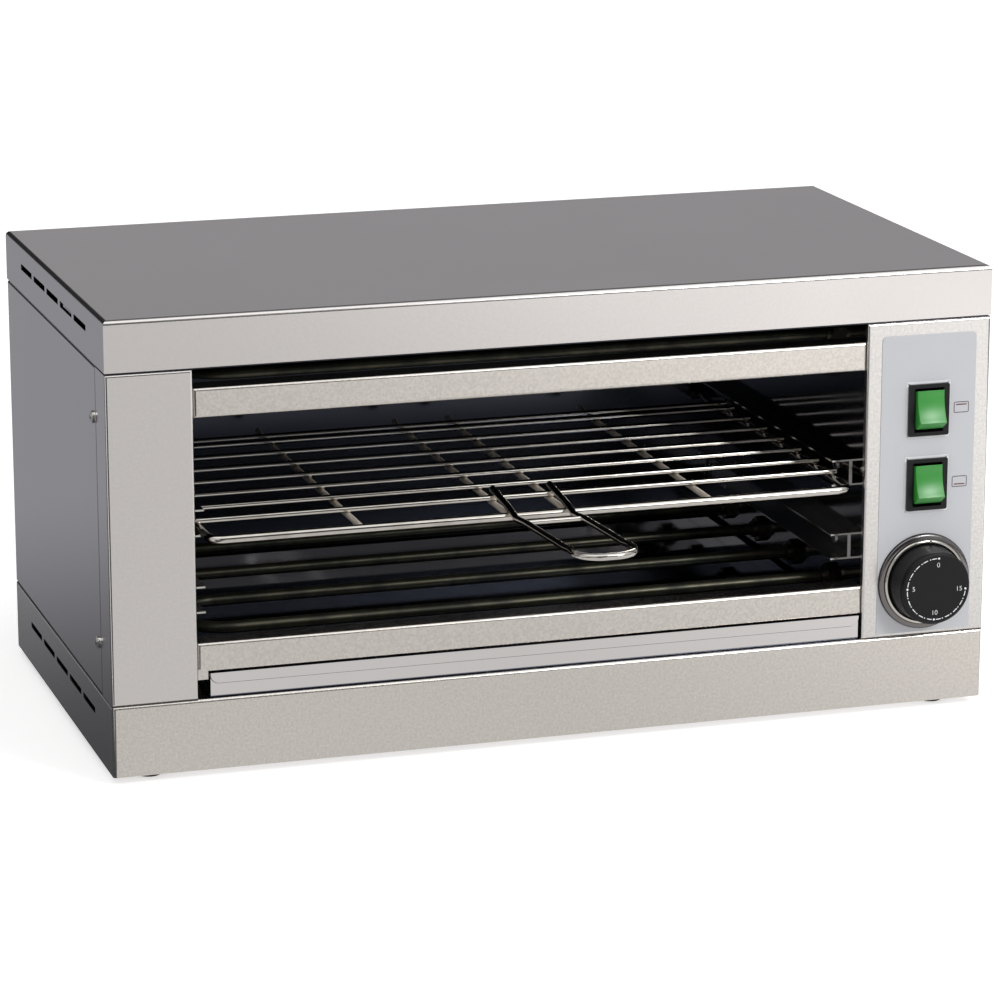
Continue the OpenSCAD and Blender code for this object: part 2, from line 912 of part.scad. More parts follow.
module grid_frame() {
    color(chrome)
        wire([
            for (side = [-1, 1], i = [0:2])
                let (step = side < 0 ? i : 2 - i)
                [grid_x + side * grid_half_w,
                    [grid_back_y, grid_back_y - end_run, grid_front_y][step],
                    grid_z + (step == 0 ? end_rise : 0)]
        ], frame_wire_d, frame_bend_r);
}

module grid_cross_wires() {
    half = grid_half_w + frame_wire_d / 2 - cross_end_gap;
    color(chrome)
        for (y = cross_ys)
            rod_x([grid_x - half, y, cross_z], mesh_wire_d, 2 * half);
}

// The inner pair of depth wires lies under the legs of the handle
depth_step = (grid_half_w - handle_half_w) / depth_pairs;
depth_xs = [for (i = [0:depth_pairs - 1], side = [-1, 1])
    grid_x + side * (handle_half_w + i * depth_step)];

module grid_depth_wires() {
    start_y = grid_front_y + frame_wire_d / 2 + weld_gap;
    color(chrome)
        for (x = depth_xs)
            wire([[x, start_y, depth_z], [x, depth_back_y - end_run, depth_z],
                [x, depth_back_y, depth_z + end_rise]], mesh_wire_d, frame_bend_r);
}

// Side view of a handle leg: distance from the casing front, height above the frame wire
handle_seat = frame_wire_d / 2 + handle_wire_d / 2;
handle_tip_y = handle_reach - handle_wire_d / 2;
handle_bend_r = 14;
handle_leg = [
    [-32.5, handle_seat + mesh_wire_d + 0.6],
    [-1, handle_seat + 0.25],
    [12.5, handle_seat - 2.5],
    [30.5, handle_seat - 0.5],
    [handle_tip_y - 27.5, handle_seat + 3],
    [handle_tip_y - 20, handle_seat + 4],
    [handle_tip_y, handle_seat + 4]];
brace_d = 3;
brace_y = 27.5;
brace_z = handle_seat - 0.8;

module grid_handle() {
    steps = len(handle_leg);
    color(chrome) {
        wire([
            for (side = [-1, 1], i = [0:steps - 1])
                let (leg = handle_leg[side < 0 ? i : steps - 1 - i])
                [grid_x + side * handle_half_w, front_y - leg[0], grid_z + leg[1]]
        ], handle_wire_d, handle_bend_r);
        rod_x([grid_x - handle_half_w, front_y - brace_y, grid_z + brace_z], brace_d,
            2 * handle_half_w);
    }
}

// ---------- crumb tray ----------

tray_z = deck_z + slide_gap;
tray_back_y = back_y - 4;

module crumb_tray() {
    lo = [chamber_l + tray_gap_l, bar_y, tray_z];
    hi = [chamber_r - tray_gap_r, tray_back_y, tray_z];
    tray_w = hi.x - lo.x;
    fold_r = 1.4;
    hem_r = 5;
    color([0.62, 0.63, 0.65]) {
        translate(lo)
            rotate([90, 0, 90])
                linear_extrude(tray_w)
                    folded_l(hi.y - lo.y, tray_front_h, fold_r, liner_t);
        for (x = [lo.x, hi.x - liner_t])
            box([x, lo.y + fold_r, tray_z], [x + liner_t, hi.y, tray_z + tray_lip_h]);
        box([lo.x, hi.y - liner_t, tray_z], [hi.x, hi.y, tray_z + tray_lip_h]);
        translate([lo.x + tray_w / 2, lo.y, tray_z + tray_front_h])
            rotate([90, 0, 0])
                linear_extrude(liner_t)
                    intersection() {
                        mirror([0, 1])
                            translate([0, -hem_r])
                                arched_profile(tray_w, hem_h + hem_r, hem_r);
                        translate([-tray_w / 2, -hem_h])
                            square([tray_w, hem_h]);
                    }
    }
}

// ---------- controls ----------

switch_zs = [deck_z + upper_switch_z - switch_pitch, deck_z + upper_switch_z];
switch_x = control_x;
cutout_w = 22;
cutout_h = 28;
knob_x = control_x - 0.2;
knob_z = deck_z + dial_z;
shaft_d = 6;
shaft_hole_d = 8;
timer_screw_pitch = 28;
face_y = front_y - overlay_t;

// What is cut through the front of the control panel and through the overlay
module panel_cutouts() {
    depth = overlay_t + sheet_t + 2 * over;
    for (z = switch_zs)
        box([switch_x - cutout_w / 2, face_y - over, z - cutout_h / 2],
            [switch_x + cutout_w / 2, face_y - over + depth, z + cutout_h / 2]);
    rod_y([knob_x, face_y - over, knob_z], shaft_hole_d, depth);
    for (side = [-1, 1])
        rod_y([knob_x + side * timer_screw_pitch / 2, face_y - over, knob_z],
            screw_d + 2 * play, depth);
}

module control_overlay() {
    inset_l = 9;
    inset_r = 8.7;
    inset_top = 8;
    inset_bottom = 2;
    overlay_w = control_w - inset_l - inset_r;
    overlay_h = panel_h - inset_top - inset_bottom;
    color([0.78, 0.79, 0.82]) difference() {
        translate([chamber_r + inset_l + overlay_w / 2, front_y, deck_z + inset_bottom])
            rotate([90, 0, 0])
                linear_extrude(overlay_t)
                    arched_profile(overlay_w, overlay_h, 3);
        panel_cutouts();
    }
}

// Rocker switches, in their own frame: x and z from the middle, -y forward
bezel_t = 2;
housing_w = cutout_w - 0.2;
housing_h = cutout_h - 0.2;
housing_d = 22;
cavity_w = 18;
cavity_h = 26;
cavity_d = 13;
pivot_y = -0.5;
rocker_w = 16.5;
pin_d = 2;
blade_l = 8;
blade_half_w = 3.15;
blade_half_t = 0.4;
blade_dx = 5.5;
blade_dz = 7;

module switch_housing(z) {
    color([0.12, 0.12, 0.13])
        translate([switch_x, face_y, z])
            difference() {
                union() {
                    rotate([90, 0, 0])
                        linear_extrude(bezel_t)
                            rounded_rect(bezel_w, bezel_h, 1.2);
                    box([-housing_w / 2, -tiny, -housing_h / 2],
                        [housing_w / 2, housing_d, housing_h / 2]);
                }
                box([-cavity_w / 2, -bezel_t - over, -cavity_h / 2],
                    [cavity_w / 2, cavity_d - bezel_t, cavity_h / 2]);
                rod_x([-housing_w / 2 - over, pivot_y, 0], pin_d + 2 * play,
                    housing_w + 2 * over);
            }
}

module upper_switch_housing() switch_housing(switch_zs[1]);
module lower_switch_housing() switch_housing(switch_zs[0]);

// Rocker with a hollowed front and a bevelled lower end, tilted with its
// lower half out, and its two pins
module rocker(z) {
    top_z = 10.6;
    end_z = -11.1;
    end_y = 0.6;
    lip_z = -8.35;
    reach = 6.8;
    hollow = 0.9;
    hollow_z = (top_z + lip_z) / 2;
    hollow_half = (top_z - lip_z) / 2;
    hollow_r = (hollow_half * hollow_half + hollow * hollow) / (2 * hollow);
    profile = [[4, -7], [end_y, end_z], [-reach, lip_z],
        [-reach, top_z], [end_y, top_z], [4, 7]];
    color([0.24, 0.63, 0.26])
        translate([switch_x, face_y + pivot_y, z])
            rotate([-rocker_tilt, 0, 0]) {
                difference() {
                    translate([-rocker_w / 2, 0, 0])
                        rotate([90, 0, 90])
                            linear_extrude(rocker_w)
                                polygon(profile);
                    rod_x([-rocker_w / 2 - over, hollow - reach - hollow_r, hollow_z],
                        2 * hollow_r, rocker_w + 2 * over, $fn = 180);
                }
                rod_x([slide_gap - housing_w / 2, 0, 0], pin_d, housing_w - 2 * slide_gap);
            }
}

module upper_rocker() rocker(switch_zs[1]);
module lower_rocker() rocker(switch_zs[0]);

// Flat blade terminals at the back of both switches
module switch_terminals() {
    color([0.80, 0.72, 0.50])
        for (z = switch_zs, sx = [-1, 1], sz = [-1, 1])
            translate([switch_x + sx * blade_dx, face_y + housing_d, z + sz * blade_dz])
                box([-blade_half_t, 0, -blade_half_w], [blade_half_t, blade_l, blade_half_w]);
}

// Timer movement behind the panel
timer_w = 50;
timer_d = 34;
timer_plate_t = 2;
timer_can_d = 44;
timer_thread_l = 9;
shaft_in = 14;

module timer_body() {
    back = front_y + sheet_t;
    color([0.80, 0.80, 0.76]) difference() {
        union() {
            box([knob_x - timer_w / 2, back, knob_z - timer_w / 2],
                [knob_x + timer_w / 2, back + timer_plate_t, knob_z + timer_w / 2]);
            rod_y([knob_x, back + timer_plate_t - tiny, knob_z], timer_can_d,
                timer_d - timer_plate_t);
        }
        rod_y([knob_x, back - over, knob_z], shaft_d + 2 * play, shaft_in + 2 * over);
        for (side = [-1, 1])
            rod_y([knob_x + side * timer_screw_pitch / 2, back - over, knob_z],
                screw_d + 2 * play, timer_thread_l);
    }
}

module timer_screws() {
    color(zinc)
        for (side = [-1, 1])
            translate([knob_x + side * timer_screw_pitch / 2, face_y, knob_z])
                rotate([90, 0, 0])
                    pan_screw(screw_d, panel_screw_l, screw_head_d, screw_head_h);
}

knob_gap = 0.4;
hub_d = 12;
hub_bore = knob_h - 3;

module timer_shaft() {
    tail = front_y + sheet_t + shaft_in;
    tip = face_y - hub_bore;
    color(zinc)
        rod_y([knob_x, tip, knob_z], shaft_d, tail - tip);
}

// Chromed ring around the dial: a sloped flange, a round bead at its bore and
// an index mark on top
module timer_ring() {
    ring_r = ring_d / 2;
    bore_r = knob_base_d / 2 + 0.4;
    bead_r = 1.2;
    bead_z = 2.9;
    flange_h = 1.9;
    mark_d = 1.6;
    mark_angle = 6;
    color(chrome)
        translate([knob_x, face_y, knob_z])
            rotate([90, 0, 0]) {
                rotate_extrude($fn = 96) {
                    polygon([
                        [bore_r, 0], [ring_r, 0], [ring_r, 0.6],
                        [bore_r + 2 * bead_r, flange_h], [bore_r + 2 * bead_r, bead_z],
                        [bore_r, bead_z]]);
                    translate([bore_r + bead_r, bead_z])
                        circle(bead_r);
                }
                rotate([0, 0, -mark_angle])
                    translate([0, bore_r + bead_r, bead_z])
                        cylinder(d = mark_d, h = bead_r + 0.5);
            }
}

// Hollow knob: a tapered skirt, a chamfered face and a hub on the shaft
module timer_knob() {
    base_r = knob_base_d / 2;
    face_r = knob_face_d / 2;
    wall = 2;
    top_t = 2.4;
    shoulder = knob_h - 2.6;
    color([0.14, 0.14, 0.15])
        translate([knob_x, face_y, knob_z])
            rotate([90, 0, 0])
                rotate_extrude($fn = 96)
                    polygon([
                        [shaft_d / 2 + play, knob_gap], [hub_d / 2, knob_gap],
                        [hub_d / 2, knob_h - top_t], [face_r - wall, knob_h - top_t],
                        [base_r - wall, knob_gap], [base_r, knob_gap],
                        [base_r, 4.6], [face_r + 0.9, shoulder],
                        [face_r + 0.3, shoulder + 0.3], [face_r, knob_h - 0.6],
                        [face_r - 0.8, knob_h], [0, knob_h],
                        [0, hub_bore], [shaft_d / 2 + play, hub_bore]]);
}

// ---------- wiring compartment ----------

block_l = 50;
block_w = 20;
block_h = 17;
block_y = rear_y - 70;
block_pitch = 10;
block_poles = 5;
block_xs = [for (i = [0:block_poles - 1]) control_x + (i - (block_poles - 1) / 2) * block_pitch];
block_skirt_h = 10.2;
block_ridge_in = 5;
block_screw_y = [6.8, 13.2];
block_screw_d = 3.4;
block_screw_h = 7.5;
block_screw_z = 8;
entry_d = 4;
entry_z = deck_z + 5.5;

// Terminal block on the deck, with a wire entry on each side of every pole
module terminal_block() {
    color([0.90, 0.89, 0.85]) difference() {
        union() {
            box([control_x - block_l / 2, block_y, deck_z],
                [control_x + block_l / 2, block_y + block_w, deck_z + block_skirt_h]);
            box([control_x - block_l / 2, block_y + block_ridge_in, deck_z + over],
                [control_x + block_l / 2, block_y + block_w - block_ridge_in, deck_z + block_h]);
        }
        for (x = block_xs) {
            rod_y([x, block_y - over, entry_z], entry_d, block_w + 2 * over);
            for (dy = block_screw_y)
                rod_z([x, block_y + dy, deck_z + block_screw_z], block_screw_d + 2 * play, block_h);
        }
    }
}

module terminal_screws() {
    slot_half_w = 0.35;
    slot_depth = 0.8;
    color(zinc)
        for (x = block_xs, dy = block_screw_y)
            translate([x, block_y + dy, deck_z + block_screw_z])
                difference() {
                    cylinder(d = block_screw_d, h = block_screw_h);
                    box([-block_screw_d, -slot_half_w, block_screw_h - slot_depth],
                        [block_screw_d, slot_half_w, block_screw_h + over]);
                }
}

// Earth stud through the deck, beside the foot flange of the chamber wall
earth_d = 5;
earth_hex_d = 9;
earth_head_h = 3.6;
earth_nut_h = 4;
earth_reach = 16;
earth_x = wall_r + wall_flange_w + earth_hex_d / 2 + over;
earth_y = rear_y - 34;

module earth_stud() {
    color([0.80, 0.70, 0.42])
        translate([earth_x, earth_y, deck_z]) {
            translate([0, 0, -sheet_t - earth_head_h])
                cylinder(d = earth_hex_d, h = earth_head_h, $fn = 6);
            translate([0, 0, -sheet_t - tiny])
                cylinder(d = earth_d, h = sheet_t + tiny + earth_reach);
            cylinder(d = earth_hex_d, h = earth_nut_h, $fn = 6);
        }
}

// Cable gland in the rear panel, behind the control compartment
gland_x = control_x;
gland_z = deck_z + 24;
gland_thread_d = 16;
gland_bore_d = 9;
gland_hex_d = 22;
gland_hex_h = 5;
gland_nut_h = 5;

module cable_gland() {
    thread_in = 9;
    hex_r = gland_hex_d / 2;
    dome_r = hex_r - 0.6;
    dome_h = gland_reach - gland_hex_h;
    color([0.15, 0.15, 0.15])
        translate([gland_x, rear_y, gland_z])
            rotate([-90, 0, 0])
                rotate_extrude($fn = 64)
                    polygon([
                        [gland_bore_d / 2, -thread_in - sheet_t],
                        [gland_thread_d / 2, -thread_in - sheet_t],
                        [gland_thread_d / 2, 0], [hex_r, 0], [hex_r, gland_hex_h],
                        [dome_r, gland_hex_h + 0.5], [dome_r, gland_hex_h + dome_h * 0.6],
                        [gland_bore_d / 2 + 1.5, gland_reach], [gland_bore_d / 2, gland_reach]]);
}

module gland_nut() {
    color([0.15, 0.15, 0.15])
        translate([gland_x, rear_y - sheet_t, gland_z])
            rotate([90, 0, 0])
                hex_nut(gland_hex_d, gland_nut_h, gland_thread_d + 2 * play);
}

lead_d = 2.2;
lead_bend_r = 3;

// Lead of the wiring: insulated wire with small bends
module lead(p) {
    wire(p, lead_d, lead_bend_r);
}

module wiring() {
    before_y = block_y - 15;
    behind_y = block_y + block_w + 11;
    block_back_y = block_y + block_w;
    blade_y = face_y + housing_d + blade_l;
    bay_y = blade_y + 18;
    tab_x = heater_end_x + insulator_l + insulator_neck_l + 1 + tab_nut_h + tab_l;
    link_x = tab_x + 6;
    ends_y = [for (row = heater_rows, side = [-1, 1]) row + side * heater_bend_r];
    color([0.85, 0.83, 0.78]) {
        // Supply to the upper and the lower switch
        lead([[block_xs[4], block_y, entry_z], [block_xs[4], before_y, entry_z],
            [block_xs[4], before_y, switch_zs[1] + blade_dz], [block_xs[4], bay_y, switch_zs[1] + blade_dz],
            [switch_x + blade_dx, bay_y, switch_zs[1] + blade_dz],
            [switch_x + blade_dx, blade_y, switch_zs[1] + blade_dz]]);
        lead([[block_xs[3], block_y, entry_z], [block_xs[3], before_y, entry_z],
            [block_xs[3], before_y, switch_zs[0] - blade_dz], [block_xs[3], bay_y, switch_zs[0] - blade_dz],
            [switch_x - blade_dx, bay_y, switch_zs[0] - blade_dz],
            [switch_x - blade_dx, blade_y, switch_zs[0] - blade_dz]]);
        // Supply to the timer
        lead([[block_xs[0], block_y, entry_z], [block_xs[0], heater_rows[0] - 14, entry_z],
            [block_xs[0], heater_rows[0] - 14, knob_z],
            [block_xs[0], front_y + sheet_t + timer_d, knob_z]]);
        // Earth
        lead([[block_xs[1], block_back_y, entry_z], [block_xs[1], earth_y, entry_z],
            [earth_x + earth_d / 2, earth_y, entry_z]]);
        // Links between the front and rear heaters
        for (z = heater_levels)
            lead([[tab_x, ends_y[1], z], [link_x, ends_y[1], z],
                [link_x, ends_y[2], z], [tab_x, ends_y[2], z]]);
        // Switches to the front heaters
        for (i = [0, 1])
            lead([[switch_x + blade_dx, blade_y, switch_zs[i] + (i == 0 ? blade_dz : -blade_dz)],
                [switch_x + blade_dx, ends_y[0], switch_zs[i] + (i == 0 ? blade_dz : -blade_dz)],
                [switch_x + blade_dx, ends_y[0], heater_levels[i]],
                [tab_x, ends_y[0], heater_levels[i]]]);
        // Rear heaters back to the terminal block
        for (i = [0, 1])
            lead([[tab_x, ends_y[3], heater_levels[i]],
                [block_xs[4 - i], ends_y[3], heater_levels[i]],
                [block_xs[4 - i], behind_y, heater_levels[i]],
                [block_xs[4 - i], behind_y, entry_z],
                [block_xs[4 - i], block_back_y, entry_z]]);
    }
}

top_cover();
cover_brackets();
cover_screws();
roof_plate();
base_tray();
bottom_plate();
feet();
foot_screws();
foot_nuts();
left_side_panel();
right_side_panel();
side_panel_screws();
rear_panel();
rear_panel_screws();
left_front_pillar();
control_panel();
upper_crossbar();
lower_crossbar();
chamber_left_wall();
chamber_right_wall();
chamber_back_wall();
upper_left_runner();
upper_right_runner();
lower_left_runner();
lower_right_runner();
runner_rivets();
upper_front_heater();
upper_rear_heater();
lower_front_heater();
lower_rear_heater();
heater_brackets();
heater_bushes();
heater_nuts();
heater_insulators();
heater_terminals();
grid_frame();
grid_cross_wires();
grid_depth_wires();
grid_handle();
crumb_tray();
control_overlay();
upper_switch_housing();
lower_switch_housing();
upper_rocker();
lower_rocker();
switch_terminals();
timer_body();
timer_screws();
timer_shaft();
timer_ring();
timer_knob();
terminal_block();
terminal_screws();
earth_stud();
wiring();
cable_gland();
gland_nut();
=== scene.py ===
"""Dresses the countertop cheese melter: finishes for every construction piece,
the moulded rockers, the dial's ring and scale, the printed symbols, the welds of
the grid, the painted shade in the seams and under the tray's hem, and the studio
around it. Metres, in the frame of the construction model."""

import json
import logging
import math
from contextlib import contextmanager
from dataclasses import dataclass, field
from enum import Enum
from typing import Callable, Iterable, Iterator, Protocol

import bpy
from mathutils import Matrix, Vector


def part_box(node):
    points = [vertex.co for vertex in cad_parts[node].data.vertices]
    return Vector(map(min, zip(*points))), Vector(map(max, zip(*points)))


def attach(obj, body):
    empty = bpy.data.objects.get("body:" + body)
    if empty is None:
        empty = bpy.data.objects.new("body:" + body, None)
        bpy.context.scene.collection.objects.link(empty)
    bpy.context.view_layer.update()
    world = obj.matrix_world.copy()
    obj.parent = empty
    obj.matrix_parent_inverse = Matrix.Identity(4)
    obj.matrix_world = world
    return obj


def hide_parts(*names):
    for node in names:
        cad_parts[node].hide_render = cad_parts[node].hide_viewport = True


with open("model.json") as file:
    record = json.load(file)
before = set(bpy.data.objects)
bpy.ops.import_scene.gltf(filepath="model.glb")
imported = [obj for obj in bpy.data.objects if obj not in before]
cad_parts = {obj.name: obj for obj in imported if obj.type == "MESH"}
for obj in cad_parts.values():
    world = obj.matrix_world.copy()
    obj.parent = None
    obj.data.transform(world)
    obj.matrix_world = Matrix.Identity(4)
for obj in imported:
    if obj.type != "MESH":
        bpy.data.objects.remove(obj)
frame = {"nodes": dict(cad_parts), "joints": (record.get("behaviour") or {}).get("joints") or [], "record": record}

log = logging.getLogger("cheese_melter")

Colour = tuple[float, float, float]
Point = tuple[float, float, float]
Pair = tuple[float, float]
Profile = tuple[Pair, ...]
Piece = bpy.types.Object
Material = bpy.types.Material
Socket = bpy.types.NodeSocket
Test = Callable[[Vector, Vector], bool]

MM = 0.001
MERGED = 0.002 * MM
ALIGNED = 0.99
RING_STEPS = 96
DISC_STEPS = 20
KEEP_SHARP = 35.0
KEEP_ROUND = 60.0
FACING_FRONT: Point = (math.pi / 2, 0.0, 0.0)
FACING_AXIS: Point = (0.0, 1.0, 0.0)
WHITE: Colour = (1.0, 1.0, 1.0)
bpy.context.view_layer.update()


def srgb(red: int, green: int, blue: int) -> Colour:
    """Turns an 8-bit display colour into the linear colour that shaders use.

    Args:
        red: Red, 0 to 255.
        green: Green, 0 to 255.
        blue: Blue, 0 to 255.

    Returns:
        The linear colour.
    """

    def linear(value: int) -> float:
        """Returns one channel in linear light."""
        part = value / 255
        return part / 12.92 if part <= 0.04045 else ((part + 0.055) / 1.055) ** 2.4

    return linear(red), linear(green), linear(blue)


def shade(colour: Colour, factor: float) -> Colour:
    """Returns a colour made lighter or darker by a factor, no brighter than white."""
    red, green, blue = (min(1.0, factor * part) for part in colour)
    return red, green, blue


# ---------------------------------------------------------------- finishes


@dataclass(frozen=True)
class Ramp:
    """A level that changes from one value to another, with soft ends.

    Attributes:
        low: Level before the start.
        high: Level past the end.
        start: Where the change starts.
        end: Where it ends, above the start.
    """

    low: float
    high: float
    start: float
    end: float


class NodeSheet:
    """The node tree of a material or world, with short calls to add and join nodes."""

    def __init__(self, owner: Material | bpy.types.World) -> None:
        """Opens the tree of a material or world.

        Args:
            owner: The material or world.
        """
        owner.use_nodes = True
        self.owner = owner
        self.tree = owner.node_tree
        self.shader = self.tree.nodes.get("Principled BSDF") or self.tree.nodes["Background"]
        self.coords = self.tree.nodes.new("ShaderNodeTexCoord")

    @classmethod
    def material(cls, name: str) -> "NodeSheet":
        """Returns the sheet of a new material."""
        return cls(bpy.data.materials.new(name))

    def add(self, kind: str, inputs: dict[str, object] | None = None,
            **settings: object) -> bpy.types.Node:
        """Adds a node.

        Args:
            kind: Type of the node, without its ShaderNode prefix.
            inputs: Values or sockets by input name.
            **settings: Properties of the node.

        Returns:
            The new node.
        """
        node = self.tree.nodes.new("ShaderNode" + kind)
        for key, value in settings.items():
            setattr(node, key, value)
        for key, value in (inputs or {}).items():
            self.feed(node, key, value)
        return node

    def feed(self, node: bpy.types.Node, key: str | int, value: object) -> None:
        """Sets an input of a node to a value, or joins it to a socket."""
        if isinstance(value, Socket):
            self.tree.links.new(value, node.inputs[key])
        elif isinstance(value, tuple) and node.inputs[key].type == "RGBA":
            node.inputs[key].default_value = (*value, 1.0)
        else:
            node.inputs[key].default_value = value

    def set(self, **values: object) -> None:
        """Feeds the main shader, with _ for a space in an input's name."""
        for key, value in values.items():
            self.feed(self.shader, key.replace("_", " "), value)

    def axes(self, kind: str = "Object") -> bpy.types.bpy_prop_collection:
        """Returns the X, Y and Z sockets of a kind of coordinates."""
        return self.add("SeparateXYZ", {"Vector": self.coords.outputs[kind]}).outputs

    def noise(self, scale: float, detail: float = 2.0) -> Socket:
        """Noise in object coordinates.

        Args:
            scale: Cells per metre.
            detail: Octaves of the noise.

        Returns:
            The noise value, about 0.5 in the middle.
        """
        where = self.coords.outputs["Object"]
        return self.add("TexNoise", {"Vector": where, "Scale": scale, "Detail": detail}).outputs["Fac"]

    def span(self, value: Socket, low: float, high: float, start: float = 0.3, end: float = 0.7) -> Socket:
        """Maps a value from start..end to low..high, and stays there outside."""
        node = self.add("MapRange", {
            "Value": value, "From Min": start, "From Max": end, "To Min": low, "To Max": high})
        return node.outputs["Result"]

    def ease(self, value: Socket, ramp: Ramp) -> Socket:
        """Returns the level of a ramp at a value."""
        node = self.add("MapRange", {
            "Value": value, "From Min": ramp.start, "From Max": ramp.end,
            "To Min": ramp.low, "To Max": ramp.high}, interpolation_type="SMOOTHSTEP")
        return node.outputs["Result"]

    def reckon(self, kind: str, first: Socket | float, second: Socket | float) -> Socket:
        """Joins two numbers by an operation of the Math node, such as ADD."""
        node = self.add("Math", operation=kind)
        self.feed(node, 0, first)
        self.feed(node, 1, second)
        return node.outputs[0]

    def plus(self, first: Socket | float, second: Socket | float) -> Socket:
        """Returns the sum of two numbers."""
        return self.reckon("ADD", first, second)

    def less(self, first: Socket | float, second: Socket | float) -> Socket:
        """Returns the first number less the second."""
        return self.reckon("SUBTRACT", first, second)

    def times(self, first: Socket | float, second: Socket | float) -> Socket:
        """Returns the product of two numbers."""
        return self.reckon("MULTIPLY", first, second)

    def between(self, share: Socket, first: Socket | float, second: Socket | float) -> Socket:
        """Returns the first number where the share is 1, and the second where it is 0."""
        return self.plus(self.times(first, share), self.times(second, self.less(1.0, share)))

    def blend(self, amount: Socket, first: Socket | Colour, second: Socket | Colour) -> Socket:
        """Mixes two colours: the first where the amount is 0, the second where it is 1."""
        node = self.add("Mix", data_type="RGBA")
        self.feed(node, "Factor", amount)
        self.feed(node, 6, first)
        self.feed(node, 7, second)
        return node.outputs[2]

    def bump(self, height: Socket, strength: float, distance: float, below: Socket | None = None) -> Socket:
        """Turns a height into a normal.

        Args:
            height: The height value.
            strength: Strength of the bump, 0 to 1.
            distance: Depth of the bump in metres.
            below: Normal of a coarser bump under this one.

        Returns:
            The bumped normal.
        """
        inputs: dict[str, object] = {"Height": height, "Strength": strength, "Distance": distance}
        if below is not None:
            inputs["Normal"] = below
        return self.add("Bump", inputs).outputs["Normal"]


class Finish(Protocol):
    """Anything that builds a material."""

    def build(self) -> Material:
        """Returns the material."""


@dataclass(frozen=True)
class SheetSteel:
    """Stainless sheet with a fine dulled grain and slight waves.

    Attributes:
        name: Name of the material.
        colour: Linear colour of the metal.
        roughness: Middle of its roughness.
        mottle: Contrast of its millimetre-sized mottling, 0 to 1.
        grain: Depth of the grain in metres.
        wave: Depth of the slow waves of the sheet in metres.
        low_colour: Linear colour painted on the metal near the floor of the chamber, standing in for the light and
            shade there.
        fade: Heights between which it turns to that colour.
        scales: Cells per metre of the mottling, the grain, the clouds and the waves.
        mottle_edge: Noise values between which the mottling turns.
        mottled_rough: Share of the mottling's contrast that its roughness takes up.
        clouded: How much its roughness varies in slow clouds.
        grain_strength: Strength of the grain, 0 to 1.
    """

    name: str
    colour: Colour
    roughness: float
    mottle: float = 0.020
    grain: float = 4e-7
    wave: float = 0.0
    low_colour: Colour | None = None
    fade: Pair = (0.07, 0.13)
    scales: tuple[float, float, float, float] = (680.0, 500.0, 9.0, 14.0)
    mottle_edge: Pair = (0.32, 0.68)
    mottled_rough: float = 0.125
    clouded: float = 0.02
    grain_strength: float = 0.3

    def build(self) -> Material:
        """Returns the material."""
        sheet = NodeSheet.material(self.name)
        speckle_scale, grain_scale, cloud_scale, wave_scale = self.scales
        speckle = sheet.noise(speckle_scale)
        cloud = sheet.noise(cloud_scale, detail=3.0)
        tint = sheet.blend(sheet.span(speckle, 0.0, 1.0, *self.mottle_edge),
                           shade(self.colour, 1 - self.mottle), shade(self.colour, 1 + self.mottle))
        if self.low_colour is not None:
            low = sheet.ease(sheet.axes()["Z"], Ramp(1.0, 0.0, *self.fade))
            tint = sheet.blend(low, tint, self.low_colour)
        rough = sheet.span(cloud, self.roughness - self.clouded, self.roughness + self.clouded)
        rougher = self.mottle * self.mottled_rough
        sheet.set(Base_Color=tint, Metallic=1.0,
                  Roughness=sheet.plus(rough, sheet.span(speckle, -rougher, rougher)))
        normal = None
        if self.grain > 0:
            normal = sheet.bump(sheet.noise(grain_scale), self.grain_strength, self.grain)
            normal = sheet.bump(speckle, self.grain_strength, self.grain, normal)
        if self.wave > 0:
            normal = sheet.bump(sheet.noise(wave_scale, detail=1.0), 1.0, self.wave, normal)
        if normal is not None:
            sheet.set(Normal=normal)
        return sheet.owner


@dataclass(frozen=True)
class BrightMetal:
    """Plated or turned metal with faint smears and a little staining.

    Attributes:
        name: Name of the material.
        colour: Linear colour of the metal.
        roughness: Middle of its roughness.
        stain: Linear colour of the stained places.
        stained: How much of the surface is stained, 0 to 1.
        bare: How metallic it is; less under a dull oxide.
        scales: Cells per metre of the smears and of the stains.
        stain_edge: Noise values between which a stain starts.
        smeared: Factors on the roughness between the smears and in them.
        smear: Strength and depth in metres of the smears' bump.
    """

    name: str
    colour: Colour
    roughness: float
    stain: Colour = (0.2, 0.19, 0.18)
    stained: float = 0.0
    bare: float = 1.0
    scales: Pair = (160.0, 45.0)
    stain_edge: Pair = (0.5, 0.65)
    smeared: Pair = (0.8, 1.3)
    smear: Pair = (0.2, 5e-6)

    def tint(self, sheet: NodeSheet) -> Socket | Colour:
        """Returns the colour, with the stains where the metal has some."""
        if self.stained == 0:
            return self.colour
        patch = sheet.noise(self.scales[1], detail=3.0)
        return sheet.blend(sheet.span(patch, 0.0, self.stained, *self.stain_edge), self.colour, self.stain)

    def build(self) -> Material:
        """Returns the material."""
        sheet = NodeSheet.material(self.name)
        smear = sheet.noise(self.scales[0], detail=4.0)
        sheet.set(
            Base_Color=self.tint(sheet),
            Metallic=self.bare,
            Roughness=sheet.span(smear, *(self.roughness * factor for factor in self.smeared)),
            Normal=sheet.bump(smear, *self.smear))
        return sheet.owner


